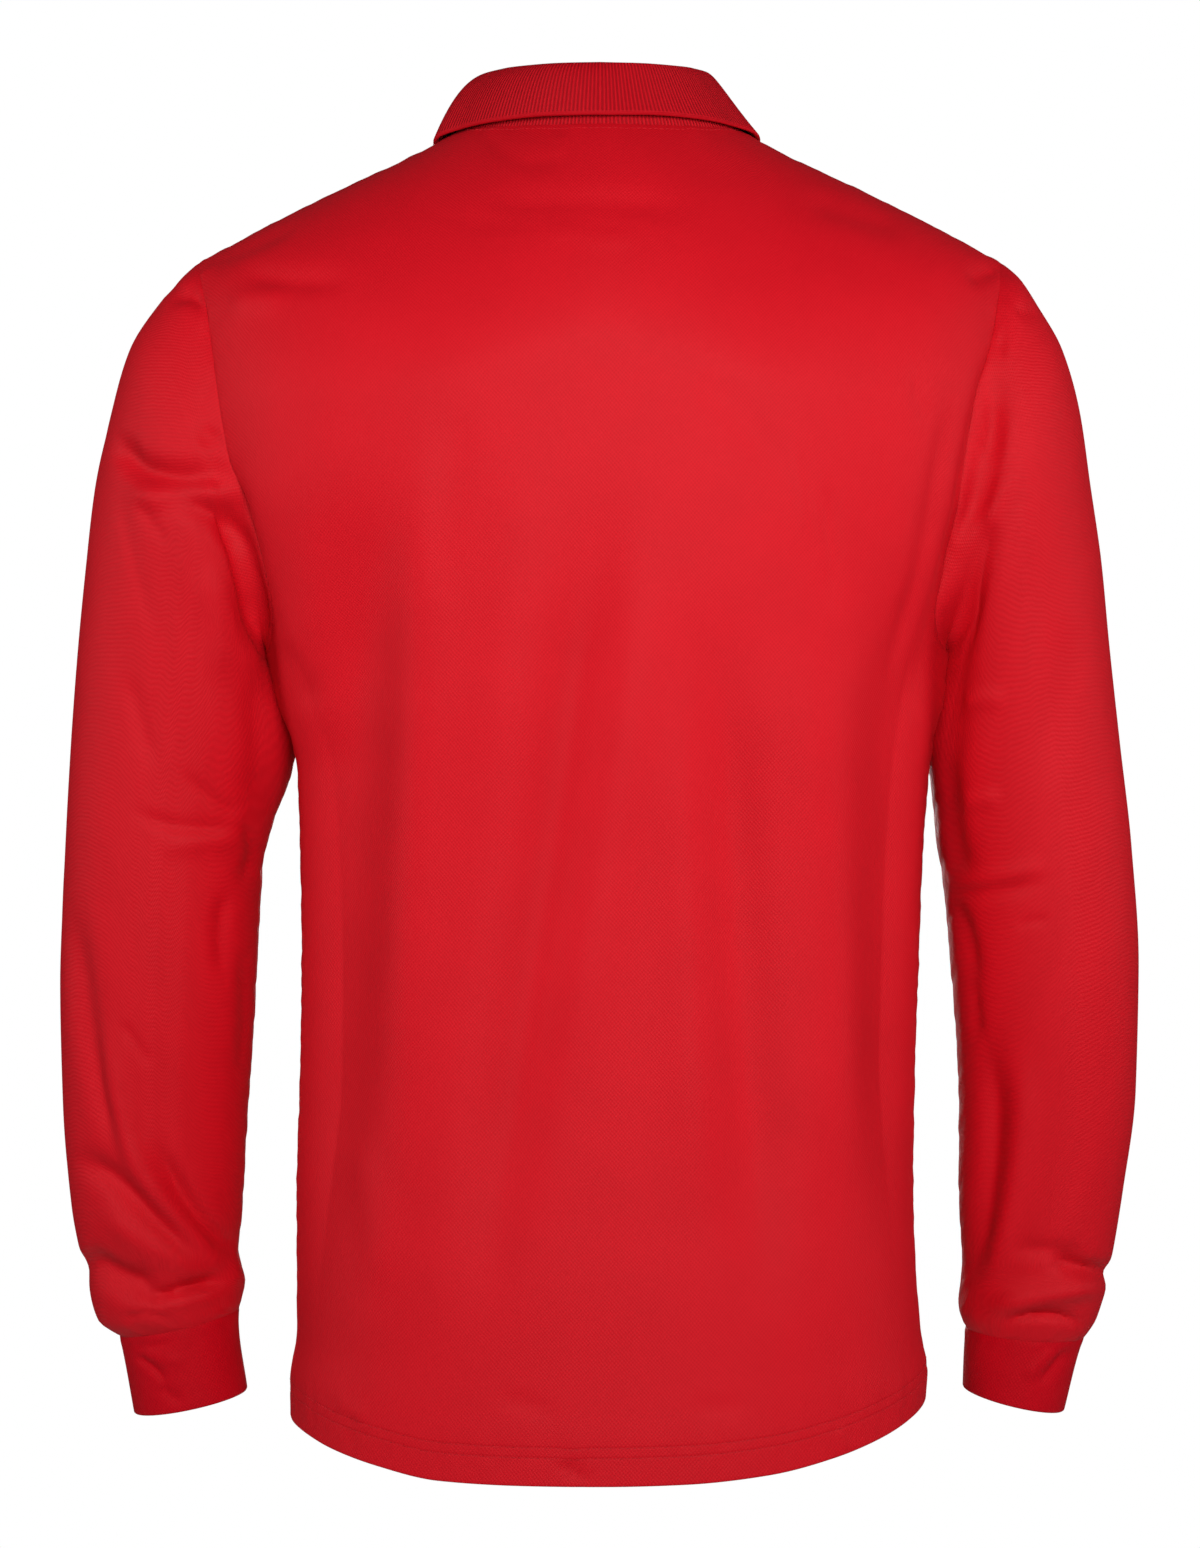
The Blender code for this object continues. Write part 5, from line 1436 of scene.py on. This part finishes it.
for path, ways_round in hole_paths:
    ways_round = ways_round / np.linalg.norm(ways_round, axis=1, keepdims=True)
    tube, quads = loop_tube(path + ways_round * RIDGE_LIFT, ways_round, RIDGE_RADIUS)
    verts.append(tube)
    faces.append(quads + count)
    count += len(tube)
buttonholes = mesh_piece("buttonhole_thread", np.concatenate(verts), np.concatenate(faces), thread)


def level(points):
    """Each row's length with its rise and fall left out: the sum of its steps seen from above."""
    return np.linalg.norm(np.diff(points[..., :2], axis=1), axis=-1).sum(axis=1)


grids = {name: (points, False) for name, points in panels.items()}
for name, (sleeve, _, cuff, _) in arms.items():
    grids["sleeve_" + name], grids["cuff_" + name] = (sleeve, True), (cuff, True)
grids["collar"] = (collar_points, False)
for name, obj in cloth.items():
    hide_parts(name)
    if name in grids:
        points, closed = grids[name]
        ring = np.concatenate([points, points[:, :1]], axis=1) if closed else points
        if name == "collar":
            across = running(ring, 1)[:, -1].max()
        else:
            across = level(ring[below] if name in panels else ring).max()
        along = running(points, 0)[-1].max()
    else:
        _, _, u, v, _ = strips[name]
        across, along = float(u[:, -1].max()), float(v[-1].max())
    width, length = (along, across) if name == "collar" else (across, along)

# %% [markdown]
# ## Studio
# The photograph is a catalogue picture: white ground, large soft lights, the stronger one on the
# right of the camera and a little above it. The floor is far enough below the hem that its shadow
# stays faint. The world gives the even light of a white room.
# %% Floor, world and lights
FLOOR_Z, FLOOR_HALF = -1.15, 1.20
floor_mesh = bpy.data.meshes.new("floor")
round_it = np.linspace(0, 2 * np.pi, 97)[:-1]
rim = [(FLOOR_HALF * math.cos(t), FLOOR_HALF * math.sin(t), FLOOR_Z) for t in round_it]
floor_mesh.from_pydata(rim, [], [tuple(range(len(rim)))])
floor = bpy.data.objects.new("floor", floor_mesh)
bpy.context.scene.collection.objects.link(floor)
pale = bpy.data.materials.new("pale_floor")
pale.use_nodes = True
pale_shader = pale.node_tree.nodes["Principled BSDF"]
pale_shader.inputs["Base Color"].default_value = (0.93, 0.93, 0.93, 1)
pale_shader.inputs["Roughness"].default_value = 0.9
pale_shader.inputs["Specular IOR Level"].default_value = 0.0
pale_shader.inputs["Emission Color"].default_value = (1, 1, 1, 1)
to_camera = pale.node_tree.nodes.new("ShaderNodeLightPath").outputs["Is Camera Ray"]
glow = pale.node_tree.nodes.new("ShaderNodeMath")
glow.operation = "MULTIPLY"
glow.inputs[1].default_value = 0.72  # as bright as the white ground behind, to the camera only
pale.node_tree.links.new(to_camera, glow.inputs[0])
pale.node_tree.links.new(glow.outputs[0], pale_shader.inputs["Emission Strength"])
floor_mesh.materials.append(pale)

world = bpy.data.worlds.new("white_room")
bpy.context.scene.world = world
world.use_nodes = True
nodes, links = world.node_tree.nodes, world.node_tree.links
room = nodes["Background"]
room.inputs["Color"].default_value = (1, 1, 1, 1)
room.inputs["Strength"].default_value = 0.05
ground = nodes.new("ShaderNodeBackground")
ground.inputs["Color"].default_value = (1, 1, 1, 1)
ground.inputs["Strength"].default_value = 1.0  # what the camera sees behind the shirt
pick = nodes.new("ShaderNodeMixShader")
links.new(nodes.new("ShaderNodeLightPath").outputs["Is Camera Ray"], pick.inputs["Fac"])
links.new(room.outputs[0], pick.inputs[1])
links.new(ground.outputs[0], pick.inputs[2])
links.new(pick.outputs[0], nodes["World Output"].inputs["Surface"])
bpy.context.scene.view_settings.view_transform = "Standard"

SPREAD = math.radians(75)  # a honeycomb grid before the lamps, so that the light fades downwards


def soft_light(name, place, aim, size, power):
    """A square area light at a place, turned to an aim."""
    data = bpy.data.lights.new(name, "AREA")
    data.size, data.energy, data.spread = size, power, SPREAD
    obj = bpy.data.objects.new(name, data)
    place, aim = np.array(place), np.array(aim)
    from_to = aim - place
    flat = math.hypot(from_to[0], from_to[1])
    obj.location = place
    heading = math.atan2(from_to[1], from_to[0])
    obj.rotation_euler = (math.atan2(flat, -from_to[2]), 0, heading - math.pi / 2)
    bpy.context.scene.collection.objects.link(obj)


CHEST = (0, 0, -0.24)
soft_light("key", (-0.45, 2.2, 0.15), CHEST, 0.7, 7.1)
soft_light("fill", (0.7, 2.1, 0.05), CHEST, 0.7, 2.0)
soft_light("rim_right", (-1.9, 0.45, 0.0), CHEST, 0.8, 2.6)
soft_light("rim_left", (1.9, 0.45, 0.0), CHEST, 0.8, 2.6)
soft_light("front_key", (0.2, -2.2, -0.1), CHEST, 0.7, 8.5)
